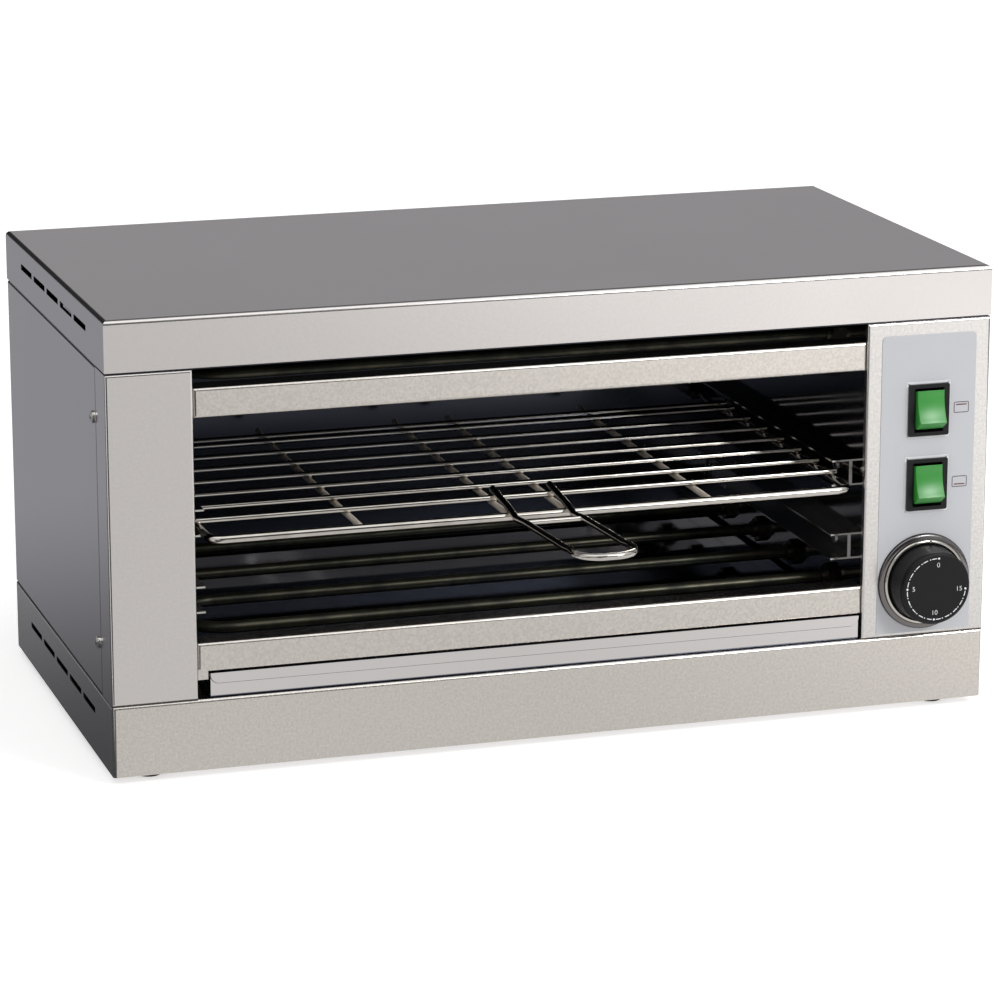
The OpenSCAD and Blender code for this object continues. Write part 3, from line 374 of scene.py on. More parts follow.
@dataclass(frozen=True)
class Moulded:
    """Moulded plastic, ceramic, rubber or printing ink with a fine surface grain.

    Attributes:
        name: Name of the material.
        colour: Linear colour.
        roughness: Middle of its roughness.
        grain: Depth of the surface grain in metres.
        mottle: How much the colour varies, 0 to 1.
        coat: Weight of a clear coat.
        glow: How far light enters the material, as subsurface weight.
        gloss: Level of its plain reflection, 0.5 for common plastic.
        scales: Cells per metre of the grain and of the slow clouds.
        grain_strength: Strength of the grain, 0 to 1.
        clouded: Share by which its roughness varies in the clouds.
        coat_roughness: Roughness of the coat.
        glow_depth: Depth in metres that the light reaches.
        glow_tint: Share of that depth for red, green and blue.
    """

    name: str
    colour: Colour
    roughness: float
    grain: float = 1e-5
    mottle: float = 0.06
    coat: float = 0.0
    glow: float = 0.0
    gloss: float = 0.5
    scales: Pair = (2200.0, 60.0)
    grain_strength: float = 0.4
    clouded: float = 0.08
    coat_roughness: float = 0.3
    glow_depth: float = 0.002
    glow_tint: Colour = (0.3, 1.0, 0.3)

    def build(self) -> Material:
        """Returns the material."""
        sheet = NodeSheet.material(self.name)
        grain = sheet.noise(self.scales[0])
        cloud = sheet.noise(self.scales[1], detail=3.0)
        sheet.set(
            Base_Color=sheet.blend(sheet.span(cloud, 0.0, 1.0), shade(self.colour, 1 - self.mottle),
                                   shade(self.colour, 1 + self.mottle)),
            Roughness=sheet.span(
                cloud, self.roughness * (1 - self.clouded), self.roughness * (1 + self.clouded)),
            Normal=sheet.bump(grain, self.grain_strength, self.grain),
            Coat_Weight=self.coat,
            Coat_Roughness=self.coat_roughness,
            Specular_IOR_Level=self.gloss)
        if self.glow > 0:
            sheet.set(Subsurface_Weight=self.glow, Subsurface_Scale=self.glow_depth,
                      Subsurface_Radius=self.glow_tint)
        return sheet.owner


@dataclass(frozen=True)
class HeaterSheath:
    """Oxidised heater tube: dark olive with darker scaled patches.

    Attributes:
        name: Name of the material.
        colour: Linear colour of the tube.
        scale: Linear colour of the scaled patches.
        bare: How metallic it is under its oxide.
        roughness: Roughness of the tube and of the patches.
        scales: Cells per metre of the patches and of the grain.
        patch_edge: Noise values between which a patch starts.
        grain: Strength and depth in metres of the grain's bump.
    """

    name: str
    colour: Colour
    scale: Colour
    bare: float = 0.75
    roughness: Pair = (0.28, 0.42)
    scales: Pair = (70.0, 900.0)
    patch_edge: Pair = (0.4, 0.65)
    grain: Pair = (0.3, 8e-6)

    def build(self) -> Material:
        """Returns the material."""
        sheet = NodeSheet.material(self.name)
        patch = sheet.noise(self.scales[0], detail=4.0)
        fine = sheet.noise(self.scales[1])
        sheet.set(
            Base_Color=sheet.blend(sheet.span(patch, 0.0, 1.0, *self.patch_edge), self.colour, self.scale),
            Metallic=self.bare,
            Roughness=sheet.span(patch, *self.roughness),
            Normal=sheet.bump(fine, *self.grain))
        return sheet.owner


class Slot(Enum):
    """The record's material slots."""

    CASING = "casing_steel"
    LINER = "liner_steel"
    TRAY = "tray_steel"
    FITTING = "fitting_steel"
    ZINC = "zinc_plate"
    HEATER = "heater_sheath"
    BRASS = "brass_fittings"
    CHROME = "bright_chrome"
    OVERLAY = "overlay_film"
    SWITCH = "switch_black"
    ROCKER = "rocker_green"
    KNOB = "knob_black"
    TIMER = "timer_case"
    FOOT = "foot_rubber"
    CERAMIC = "insulator_ceramic"
    WIRE = "wire_insulation"
    GLAND = "gland_black"


class Trim(Enum):
    """The inks, shadows and metals of the modelled trim."""

    WHITE = "print_white"
    GREY = "print_grey"
    BLACK = "print_black"
    RED = "print_red"
    SEAM = "seam_shadow"
    FOLD = "fold_shadow"
    WELD = "weld_metal"
    RING = "ring_metal"


# Painted reflection: the lighter, bluer colour that the liner and back wall take near the chamber's floor.
LOW_LINER_REFLECTION = srgb(120, 126, 140)

FINISHES: dict[Slot | Trim, Finish] = {
    Slot.CASING: SheetSteel("casing_steel", srgb(215, 211, 209), 0.17),
    # Painted reflection: the polished liner has a dark colour for the dark room that it mirrors.
    Slot.LINER: SheetSteel("liner_steel", srgb(54, 56, 62), 0.06, grain=0.0, wave=5e-5,
                           low_colour=LOW_LINER_REFLECTION),
    # Painted shade: below 47 mm the tray's floor, inside the chamber, turns a darker blue-grey than its bright
    # front.
    Slot.TRAY: SheetSteel("tray_steel", srgb(218, 215, 215), 0.06, mottle=0.004, grain=0.0, wave=1e-5,
                          low_colour=srgb(84, 91, 108), fade=(0.0470, 0.0477)),
    Slot.FITTING: BrightMetal("fitting_steel", srgb(96, 90, 82), 0.32, srgb(52, 48, 44), 0.7),
    Slot.ZINC: BrightMetal("zinc_plate", srgb(196, 197, 200), 0.25),
    Slot.HEATER: HeaterSheath("heater_sheath", srgb(68, 67, 55), srgb(46, 46, 40)),
    Slot.BRASS: BrightMetal("brass_fittings", srgb(205, 176, 120), 0.25),
    Slot.CHROME: BrightMetal("bright_chrome", srgb(202, 198, 192), 0.06, srgb(132, 120, 106), 0.25),
    Slot.OVERLAY: Moulded("overlay_film", srgb(200, 201, 206), 0.45, grain=4e-6, mottle=0.008),
    Slot.SWITCH: Moulded("switch_black", srgb(22, 22, 24), 0.38, gloss=0.25),
    Slot.ROCKER: Moulded("rocker_green", srgb(50, 146, 54), 0.36, grain=4e-5, glow=0.12, coat=0.45),
    Slot.KNOB: Moulded("knob_black", srgb(22, 22, 24), 0.36, gloss=0.22),
    Slot.TIMER: BrightMetal("timer_case", srgb(205, 203, 196), 0.35),
    Slot.FOOT: Moulded("foot_rubber", srgb(30, 29, 28), 0.75),
    Slot.CERAMIC: Moulded("insulator_ceramic", srgb(232, 228, 218), 0.4),
    Slot.WIRE: Moulded("wire_insulation", srgb(214, 208, 190), 0.5),
    Slot.GLAND: Moulded("gland_black", srgb(36, 36, 37), 0.45),
    Trim.WHITE: Moulded("print_white", srgb(238, 239, 242), 0.5, grain=2e-6),
    Trim.GREY: Moulded("print_grey", srgb(104, 92, 100), 0.5, grain=2e-6),
    Trim.BLACK: Moulded("print_black", srgb(24, 22, 24), 0.5, grain=2e-6),
    Trim.RED: Moulded("print_red", srgb(112, 58, 60), 0.5, grain=2e-6),
    # Painted shade: the dark strips in the casing's seams and under the columns, where the gaps are in shadow.
    Trim.SEAM: Moulded("seam_shadow", srgb(44, 44, 48), 0.7),
    # Painted shadow: the dark line under the hem on the tray's front.
    Trim.FOLD: Moulded("fold_shadow", srgb(112, 110, 108), 0.6, grain=2e-6),
    Trim.WELD: BrightMetal("weld_metal", srgb(176, 164, 150), 0.22, srgb(110, 96, 82), 0.5),
    # Painted shade: the flange's chrome in a darker colour than the bead's, for the dimmer reflection on the
    # flange.
    Trim.RING: BrightMetal("ring_metal", srgb(122, 119, 119), 0.14),
}

MOTTLED_SHEET = SheetSteel("mottled_sheet", srgb(213, 208, 202), 0.20, mottle=0.075)
RUNNER_SHEET = SheetSteel("runner_sheet", srgb(196, 194, 190), 0.14)

NODE_FINISHES: dict[str, Finish] = {
    "base_tray": MOTTLED_SHEET,
    "upper_crossbar": MOTTLED_SHEET,
    "lower_crossbar": MOTTLED_SHEET,
    "control_panel": SheetSteel("panel_sheet", srgb(217, 214, 212), 0.20, mottle=0.06),
    # Painted light and shade: the chamber's right wall and back wall are the liner's stainless in a lighter and a
    # darker colour, for what they mirror.
    "chamber_right_wall": SheetSteel("mirror_sheet", srgb(150, 150, 153), 0.08, grain=0.0, wave=3e-5),
    "chamber_back_wall": SheetSteel("back_sheet", srgb(58, 61, 70), 0.17, mottle=0.03, grain=0.0, wave=5e-5,
                                    low_colour=LOW_LINER_REFLECTION),
    "upper_left_runner": RUNNER_SHEET,
    "upper_right_runner": RUNNER_SHEET,
    "lower_left_runner": RUNNER_SHEET,
    "lower_right_runner": RUNNER_SHEET,
    "grid_depth_wires": BrightMetal(
        "depth_wire", srgb(236, 226, 212), 0.2, srgb(150, 130, 108), 0.3, bare=0.35),
    "side_panel_screws": BrightMetal("bright_screw", srgb(236, 234, 230), 0.14),
}

Finishes = dict[Slot | Trim, Material]


# ---------------------------------------------------------------- modelling


def clear_selection() -> None:
    """Leaves edit mode and deselects every object."""
    if bpy.context.object is not None and bpy.context.object.mode != "OBJECT":
        bpy.ops.object.mode_set(mode="OBJECT")
    bpy.ops.object.select_all(action="DESELECT")


def pick(piece: Piece) -> None:
    """Selects one object alone and makes it active."""
    clear_selection()
    piece.select_set(True)
    bpy.context.view_layer.objects.active = piece


@contextmanager
def editing(piece: Piece) -> Iterator[None]:
    """Opens a piece's mesh for editing, and closes it at the end."""
    bpy.context.view_layer.objects.active = piece
    bpy.ops.object.mode_set(mode="EDIT")
    yield
    bpy.ops.object.mode_set(mode="OBJECT")


def active(name: str) -> Piece:
    """Names the object that was just added, and its mesh.

    Args:
        name: Name of the piece.

    Returns:
        The object.
    """
    piece = bpy.context.object
    piece.name = name
    piece.data.name = name
    return piece


class Element(Enum):
    """What is selected in an edited mesh."""

    FACE = "FACE"
    EDGE = "EDGE"
    VERTEX = "VERT"


def anywhere(at: Vector, way: Vector) -> bool:
    """Passes every face, edge or vertex."""
    return True


def choose(piece: Piece, test: Test, kind: Element = Element.FACE) -> None:
    """Selects the faces, edges or vertices of the edited piece that pass a test.

    Args:
        piece: The piece, in edit mode.
        test: Takes the middle and the normal of a face, the middle and the
            direction of an edge, or the place and normal of a vertex.
        kind: What is selected.
    """
    bpy.ops.mesh.select_mode(type=kind.value)
    bpy.ops.mesh.select_all(action="DESELECT")
    bpy.ops.object.mode_set(mode="OBJECT")
    mesh = piece.data
    if kind is Element.FACE:
        for face in mesh.polygons:
            face.select = test(face.center.copy(), face.normal.copy())
    elif kind is Element.EDGE:
        for edge in mesh.edges:
            first, second = (mesh.vertices[i].co for i in edge.vertices)
            edge.select = test((first + second) / 2, (second - first).normalized())
    else:
        for vertex in mesh.vertices:
            vertex.select = test(vertex.co.copy(), vertex.normal.copy())
    bpy.ops.object.mode_set(mode="EDIT")


def select_whole_mesh() -> None:
    """Selects all of the edited mesh."""
    bpy.ops.mesh.select_all(action="SELECT")


def extrude(way: Vector | Point) -> None:
    """Extrudes what is selected by a distance and direction."""
    bpy.ops.mesh.extrude_region_move(TRANSFORM_OT_translate={"value": way})


def place(piece: Piece) -> None:
    """Puts a piece's place, turn and scale into its mesh."""
    pick(piece)
    bpy.ops.object.transform_apply(location=True, rotation=True, scale=True)
    clear_selection()


def join(pieces: Iterable[Piece], name: str) -> Piece:
    """Joins pieces into one.

    Args:
        pieces: Two or more pieces.
        name: Name of the joined piece.

    Returns:
        The joined piece.
    """
    first, *others = pieces
    pick(first)
    for part in others:
        part.select_set(True)
    bpy.ops.object.join()
    whole = active(name)
    clear_selection()
    return whole


def smooth(piece: Piece, degrees: float = KEEP_SHARP) -> None:
    """Shades a piece smooth, with edges sharper than an angle kept."""
    pick(piece)
    bpy.ops.object.shade_smooth_by_angle(angle=math.radians(degrees))
    clear_selection()


def finish_piece(piece: Piece, finish: Material, body: str) -> None:
    """Gives a piece its material and its body, and reports it.

    Args:
        piece: The finished piece.
        finish: Its material.
        body: The body that it moves with.
    """
    piece.data.materials.clear()
    piece.data.materials.append(finish)
    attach(piece, body)
    log.info("%s rides on %s, %d faces", piece.name, body, len(piece.data.polygons))


def corners(node: str) -> tuple[Vector, Vector]:
    """Returns the lowest and the highest corner of a construction node."""
    low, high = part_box(node)
    return Vector(low), Vector(high)


def middle(node: str) -> Vector:
    """Returns the middle of a construction node's box."""
    low, high = corners(node)
    return (low + high) / 2


def on_clock(degrees: float, radius: float) -> Vector:
    """Returns a step on a front face, at an angle from +X towards +Z."""
    turn = math.radians(degrees)
    return Vector((math.cos(turn), 0, math.sin(turn))) * radius


def seed(at: Vector, name: str) -> Piece:
    """Starts a piece as a single point, from which an outline is extruded.

    Args:
        at: Its place.
        name: Name of the piece.

    Returns:
        The piece.
    """
    clear_selection()
    bpy.ops.mesh.primitive_plane_add(size=1.0, location=(0, 0, 0))
    piece = active(name)
    with editing(piece):
        bpy.ops.mesh.select_mode(type=Element.VERTEX.value)
        select_whole_mesh()
        bpy.ops.mesh.merge(type="CENTER")
        bpy.ops.transform.translate(value=at)
    return piece


def card(at: Vector, size: Pair, name: str, turn: Point = FACING_FRONT) -> Piece:
    """Models a flat rectangle.

    Args:
        at: Its middle.
        size: Its sizes before it is turned.
        name: Its name.
        turn: Its turn.

    Returns:
        The rectangle.
    """
    clear_selection()
    bpy.ops.mesh.primitive_plane_add(size=1.0, location=at, rotation=turn)
    piece = active(name)
    piece.scale = (*size, 1.0)
    place(piece)
    return piece


def disc(at: Vector, radius: float, name: str) -> Piece:
    """Models a flat disc facing forward.

    Args:
        at: Its middle.
        radius: Its radius.
        name: Its name.

    Returns:
        The disc.
    """
    clear_selection()
    bpy.ops.mesh.primitive_circle_add(
        vertices=DISC_STEPS, radius=radius, fill_type="NGON", location=at, rotation=FACING_FRONT)
    piece = active(name)
    place(piece)
    return piece


def ball(at: Vector, size: Point, steps: tuple[int, int], name: str) -> Piece:
    """Models a ball or an egg shape.

    Args:
        at: Its middle.
        size: Its radius along X, Y and Z.
        steps: Steps round it and from pole to pole.
        name: Its name.

    Returns:
        The ball.
    """
    clear_selection()
    segments, rings = steps
    bpy.ops.mesh.primitive_uv_sphere_add(segments=segments, ring_count=rings, radius=1.0, location=at)
    piece = active(name)
    piece.scale = size
    place(piece)
    return piece


def round_corners(piece: Piece, test: Test, radius: float, segments: int) -> None:
    """Rounds those corners of an edited flat piece that pass a test."""
    choose(piece, test, Element.VERTEX)
    bpy.ops.mesh.bevel(offset=radius, segments=segments, affect="VERTICES")


def keep_line(piece: Piece, stroke: float) -> None:
    """Leaves only a line along the edge of an edited flat piece.

    Args:
        piece: The piece, in edit mode.
        stroke: Width of the line.
    """
    choose(piece, anywhere)
    bpy.ops.mesh.inset(thickness=stroke, depth=0.0)
    bpy.ops.mesh.delete(type="FACE")


def lathe(centre: Vector, profile: Profile, name: str) -> Piece:
    """Models a ring that faces forward, from its closed profile.

    Args:
        centre: Its middle, on the surface that it stands on.
        profile: Radius and height in millimetres of each point of the profile.
        name: Its name.

    Returns:
        The ring.
    """
    points = [centre + Vector((radius, -height, 0)) * MM for radius, height in profile]
    piece = seed(points[0], name)
    with editing(piece):
        select_whole_mesh()
        for start, end in zip(points, points[1:] + points[:1]):
            extrude(end - start)
        select_whole_mesh()
        bpy.ops.mesh.spin(steps=RING_STEPS, angle=2 * math.pi, center=centre, axis=FACING_AXIS)
        select_whole_mesh()
        bpy.ops.mesh.remove_doubles(threshold=MERGED)
        bpy.ops.mesh.normals_make_consistent(inside=False)
    smooth(piece)
    return piece


# ---------------------------------------------------------------- pieces


@dataclass
class Rocker:
    """A switch's green rocker: hollowed front, bevelled lower end, soft edges.

    Attributes:
        node: The construction node that it stands for.
        body: The body that it moves with.
        width: Width across the rocker.
        top: Height of its top above the pivot.
        bottom: Height of its lower end under the pivot.
        reach: Reach of its front before the pivot, when level.
        lip: Height of its lower lip under the pivot.
        rim: Distance behind the pivot at which its ends start to narrow.
        back: Depth behind the rim.
        narrowing: Height of its back against its front.
        hollow: Depth of the hollow between its lip and its top, at its middle.
        tilt: Tilt at rest, in degrees, with its lower half out.
        edge: Radius of its soft edges.
        rows: Cuts across the hollow.
        near: Distance within which a point counts as on a plane.
    """

    node: str
    body: str
    width: float = 16.5 * MM
    top: float = 10.6 * MM
    bottom: float = 11.1 * MM
    reach: float = 6.8 * MM
    lip: float = 8.35 * MM
    rim: float = 0.6 * MM
    back: float = 3.4 * MM
    narrowing: float = 0.645
    hollow: float = 1.5 * MM
    tilt: float = 15.0
    edge: float = 0.3 * MM
    rows: int = 9
    near: float = 0.1 * MM

    def pivot(self) -> Vector:
        """Returns the pivot, from the joint of its body."""
        joint = next(item for item in frame["joints"] if item["child"] == self.body)
        at = Vector(joint["pos_m"])
        at.x = middle(self.node).x
        return at

    def block(self, pivot: Vector) -> Piece:
        """Models the plain block in front of the rim.

        Args:
            pivot: The rocker's pivot.

        Returns:
            The block.
        """
        clear_selection()
        offset = Vector((0, (self.rim - self.reach) / 2, (self.top - self.bottom) / 2))
        bpy.ops.mesh.primitive_cube_add(size=1.0, location=pivot + offset)
        piece = active(self.node + "_moulded")
        piece.scale = (self.width, self.rim + self.reach, self.top + self.bottom)
        place(piece)
        return piece

    def narrow_back(self, piece: Piece, pivot: Vector) -> None:
        """Draws the block out behind its rim, narrower."""
        choose(piece, lambda at, way: way.y > ALIGNED)
        extrude((0, self.back, 0))
        bpy.ops.transform.resize(value=(1, 1, self.narrowing), center_override=pivot)

    def bevel_end(self, piece: Piece, pivot: Vector) -> None:
        """Slopes the lower end back from the lip to the rim."""
        select_whole_mesh()
        bpy.ops.mesh.bisect(plane_co=pivot - Vector((0, 0, self.lip)), plane_no=(0, 0, 1))
        front, end = pivot.y - self.reach + MM, pivot.z - self.bottom + MM
        choose(piece, lambda at, way: at.y < front and at.z < end, Element.VERTEX)
        bpy.ops.transform.translate(value=(0, self.rim + self.reach, 0))
        select_whole_mesh()
        bpy.ops.mesh.remove_doubles(threshold=self.near / 10)

    def hollow_front(self, piece: Piece, pivot: Vector) -> None:
        """Hollows the front between the lip and the top, as a shallow curve."""
        front = pivot.y - self.reach + self.near
        choose(piece, lambda at, way: abs(way.z) > ALIGNED and at.y < front, Element.EDGE)
        bpy.ops.mesh.subdivide(number_cuts=self.rows)
        for row in range(1, self.rows + 1):
            height = pivot.z - self.lip + (self.top + self.lip) * row / (self.rows + 1)
            share = 2 * row / (self.rows + 1) - 1
            choose(piece, lambda at, way: at.y < front and abs(at.z - height) < self.near / 2,
                   Element.VERTEX)
            bpy.ops.transform.translate(value=(0, self.hollow * (1 - share * share), 0))

    def soften_front(self, piece: Piece, pivot: Vector) -> None:
        """Rounds the edges round the hollowed front."""
        front = pivot.y - self.reach + self.hollow + self.near

        def on_rim(at: Vector, way: Vector) -> bool:
            """Passes the edges along both sides, the top and the lip."""
            height = at.z - pivot.z
            gaps = (abs(at.x - pivot.x) - self.width / 2, height - self.top, height + self.lip)
            return at.y < front and any(abs(gap) < self.near / 10 for gap in gaps)

        choose(piece, on_rim, Element.EDGE)
        bpy.ops.mesh.bevel(offset=self.edge, segments=3, profile=0.5)

    def build(self) -> Piece:
        """Models the rocker.

        Returns:
            The rocker, in place.
        """
        pivot = self.pivot()
        piece = self.block(pivot)
        with editing(piece):
            self.narrow_back(piece, pivot)
            self.bevel_end(piece, pivot)
            self.hollow_front(piece, pivot)
            self.soften_front(piece, pivot)
            select_whole_mesh()
            bpy.ops.transform.rotate(value=math.radians(self.tilt), orient_axis="X", center_override=pivot)
        smooth(piece)
        return piece

    def dress(self, finishes: Finishes) -> None:
        """Builds and finishes the rocker in place of its node."""
        piece = self.build()
        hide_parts(self.node)
        finish_piece(piece, finishes[Slot.ROCKER], self.body)


@dataclass
class DialScale:
    """The printed scale on the knob's face: numbers, dots and dashes.

    Attributes:
        radius: Radius of the dashed arc.
        stroke: Width of the arc.
        dot: Radius of the dots at the numbers.
        small_dot: Radius of the dots between the dashes.
        number_radius: Radius at which the numbers stand.
        number_height: Height of the numbers.
        type_size: Size of the type against the height of its numbers.
        thinner: What is taken off all round the strokes of the numbers.
        minutes: Length of the scale.
        numbered: Minutes from one number to the next.
        sweep: Degrees that the scale takes up.
        proud: Height of the print above the knob's face.
        dash_start: Share of a minute at which its dash starts.
        dash_end: Share of a minute at which its dash ends.
        dash_steps: Steps of a dash for each minute of it.
        dot_at: Share of a minute at which its small dot stands.
        turned: How far the scale is turned clockwise, in degrees.
    """

    radius: float = 18.2 * MM
    stroke: float = 0.5 * MM
    dot: float = 0.65 * MM
    small_dot: float = 0.36 * MM
    number_radius: float = 14.2 * MM
    number_height: float = 2.9 * MM
    type_size: float = 1.4
    thinner: float = 0.05 * MM
    minutes: int = 15
    numbered: int = 5
    sweep: float = 270.0
    proud: float = 0.06 * MM
    dash_start: float = 0.22
    dash_end: float = 0.75
    dash_steps: float = 6.0
    dot_at: float = 0.93
    turned: float = 3.5

    def face(self) -> Vector:
        """Returns the middle of the knob's face, where the print lies."""
        at = middle("timer_knob")
        at.y = corners("timer_knob")[0].y - self.proud
        return at

    def around(self, minute: float, radius: float) -> Vector:
        """Returns the place of a minute on the face: 0 on top, running to the left."""
        return self.face() + on_clock(90 - self.turned + minute * self.sweep / self.minutes, radius)

    def dash(self, start: float, end: float) -> Piece:
        """Models one dash as an edge spun round the middle of the face.

        Args:
            start: Minute at which it starts.
            end: Minute at which it ends.

        Returns:
            The dash.
        """
        inner = self.around(start, self.radius - self.stroke / 2)
        outer = self.around(start, self.radius + self.stroke / 2)
        piece = seed(inner, "dash")
        with editing(piece):
            select_whole_mesh()
            extrude(outer - inner)
            select_whole_mesh()
            bpy.ops.mesh.spin(steps=max(2, round((end - start) * self.dash_steps)),
                              angle=math.radians((end - start) * self.sweep / self.minutes),
                              center=self.face(), axis=FACING_AXIS)
        return piece

    def spot(self, minute: float, radius: float) -> Piece:
        """Models one dot."""
        return disc(self.around(minute, self.radius), radius, "dot")

    def number(self, minute: int) -> Piece:
        """Models one number as a flat mesh."""
        clear_selection()
        bpy.ops.object.text_add(location=self.around(minute, self.number_radius), rotation=FACING_FRONT)
        text = bpy.context.object.data
        text.body = str(minute)
        text.size = self.number_height * self.type_size
        text.offset = -self.thinner
        text.align_x = "CENTER"
        text.align_y = "CENTER"
        bpy.ops.object.convert(target="MESH")
        piece = active("number")
        place(piece)
        return piece

    def dress(self, finishes: Finishes) -> None:
        """Builds the scale and lets it turn with the dial."""
        marked = range(0, self.minutes + 1, self.numbered)
        parts = [self.number(minute) for minute in marked]
        parts += [self.spot(minute, self.dot) for minute in marked]
        for minute in range(self.minutes):
            parts.append(self.dash(minute + self.dash_start, minute + self.dash_end))
            if minute + 1 not in marked:
                parts.append(self.spot(minute + self.dot_at, self.small_dot))
        finish_piece(join(parts, "dial_scale"), finishes[Trim.WHITE], "dial")


@dataclass
class DialRing:
    """The ring round the dial: a sloped flange in a darker copy of the chrome as painted shade, a groove, a bright
    bead, and a dark gasket that also stands in as the ring's painted shadow.

    Attributes:
        flange: Radius and height of each point of the flange's profile, in millimetres.
        bead: The same for the bead.
        gasket: The same for the dark gasket under the flange, which also stands in as the ring's painted shadow on
            the overlay.
        mark_radius: Distance of the index mark from the ring's middle.
        mark_angle: Turn of that mark from the top, clockwise, in degrees.
        mark_height: Height of the mark above the overlay.
        mark_ball: Radius of the mark's little knob.
        mark_paint: Radius of the black paint round it.
    """

    flange: Profile = (
        (28.1, 0.9), (28.1, 1.3), (27.9, 1.6), (27.4, 1.85), (26.4, 2.1), (25.7, 2.2), (25.4, 2.0),
        (25.3, 1.5), (22.8, 1.5), (22.8, 0.9))
    bead: Profile = (
        (25.2, 1.5), (25.2, 2.7), (25.0, 3.3), (24.6, 3.7), (24.0, 3.85), (23.4, 3.7), (23.0, 3.3),
        (22.8, 2.7), (22.8, 1.5))
    gasket: Profile = ((28.45, 0.0), (28.45, 0.9), (22.9, 0.9), (22.9, 0.0))
    mark_radius: float = 24.0 * MM
    mark_angle: float = 6.0
    mark_height: float = 3.85 * MM
    mark_ball: float = 0.5 * MM
    mark_paint: float = 0.95 * MM

    def dress(self, finishes: Finishes) -> None:
        """Builds the ring in place of its node in the darker painted-shade metal, its gasket, which is also
        painted shadow, and its index mark.
        """
        black, bright = finishes[Trim.BLACK], finishes[Slot.CHROME]
        centre = middle("timer_ring")
        centre.y = corners("control_overlay")[0].y
        mark = centre + on_clock(90 - self.mark_angle, self.mark_radius)
        mark.y -= self.mark_height
        ring = lathe(centre, self.flange, "dial_ring")
        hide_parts("timer_ring")
        finish_piece(ring, finishes[Trim.RING], "case")
        bead = lathe(centre, self.bead, "dial_bead")
        knob = ball(mark, (self.mark_ball,) * 3, (16, 8), "mark")
        smooth(knob, KEEP_ROUND)
        finish_piece(join([bead, knob], "dial_bead"), bright, "case")
        # The dark gasket, which also stands in as the ring's painted shadow on the overlay.
        finish_piece(lathe(centre, self.gasket, "dial_gasket_and_shadow"), black, "case")
        paint = disc(mark, self.mark_paint, "ring_index_paint")
        finish_piece(paint, black, "case")


@dataclass
class PanelSeams:
    """Painted shade: dark strips in the seams behind and under the two front columns, standing in for the shadow
    in those gaps.

    Attributes:
        column_d: Depth of the columns.
        depth: How deep the seams of the side panels show.
        inset: How far the painted shade line under a column stays behind its face.
        line: Height of that line.
    """

    column_d: float = 24.0 * MM
    depth: float = 0.5 * MM
    inset: float = 0.3 * MM
    line: float = 0.6 * MM

    def seam(self, panel: str, side: int, finishes: Finishes) -> None:
        """Builds the painted shade strip between a column and a side panel.

        Args:
            panel: The side panel.
            side: -1 for the left one, 1 for the right one.
            finishes: The materials.
        """
        low, high = corners(panel)
        column_back = corners("left_front_pillar")[0].y + self.column_d
        x = (low.x if side < 0 else high.x) - side * self.depth
        at = Vector((x, (column_back + low.y) / 2, (low.z + high.z) / 2))
        strip = card(at, (high.z - low.z, low.y - column_back), panel + "_seam", (0, side * math.pi / 2, 0))
        finish_piece(strip, finishes[Trim.SEAM], "case")

    def groove(self, column: str, finishes: Finishes) -> None:
        """Builds the painted shade strip in the groove under a column."""
        low, high = corners(column)
        at = Vector(((low.x + high.x) / 2, low.y + self.inset, low.z))
        strip = card(at, (high.x - low.x - 2 * self.inset, self.line), column + "_groove")
        finish_piece(strip, finishes[Trim.SEAM], "case")

    def dress(self, finishes: Finishes) -> None:
        """Builds one painted shade strip in each seam and groove."""
        self.seam("left_side_panel", -1, finishes)
        self.seam("right_side_panel", 1, finishes)
        self.groove("left_front_pillar", finishes)
        self.groove("control_panel", finishes)


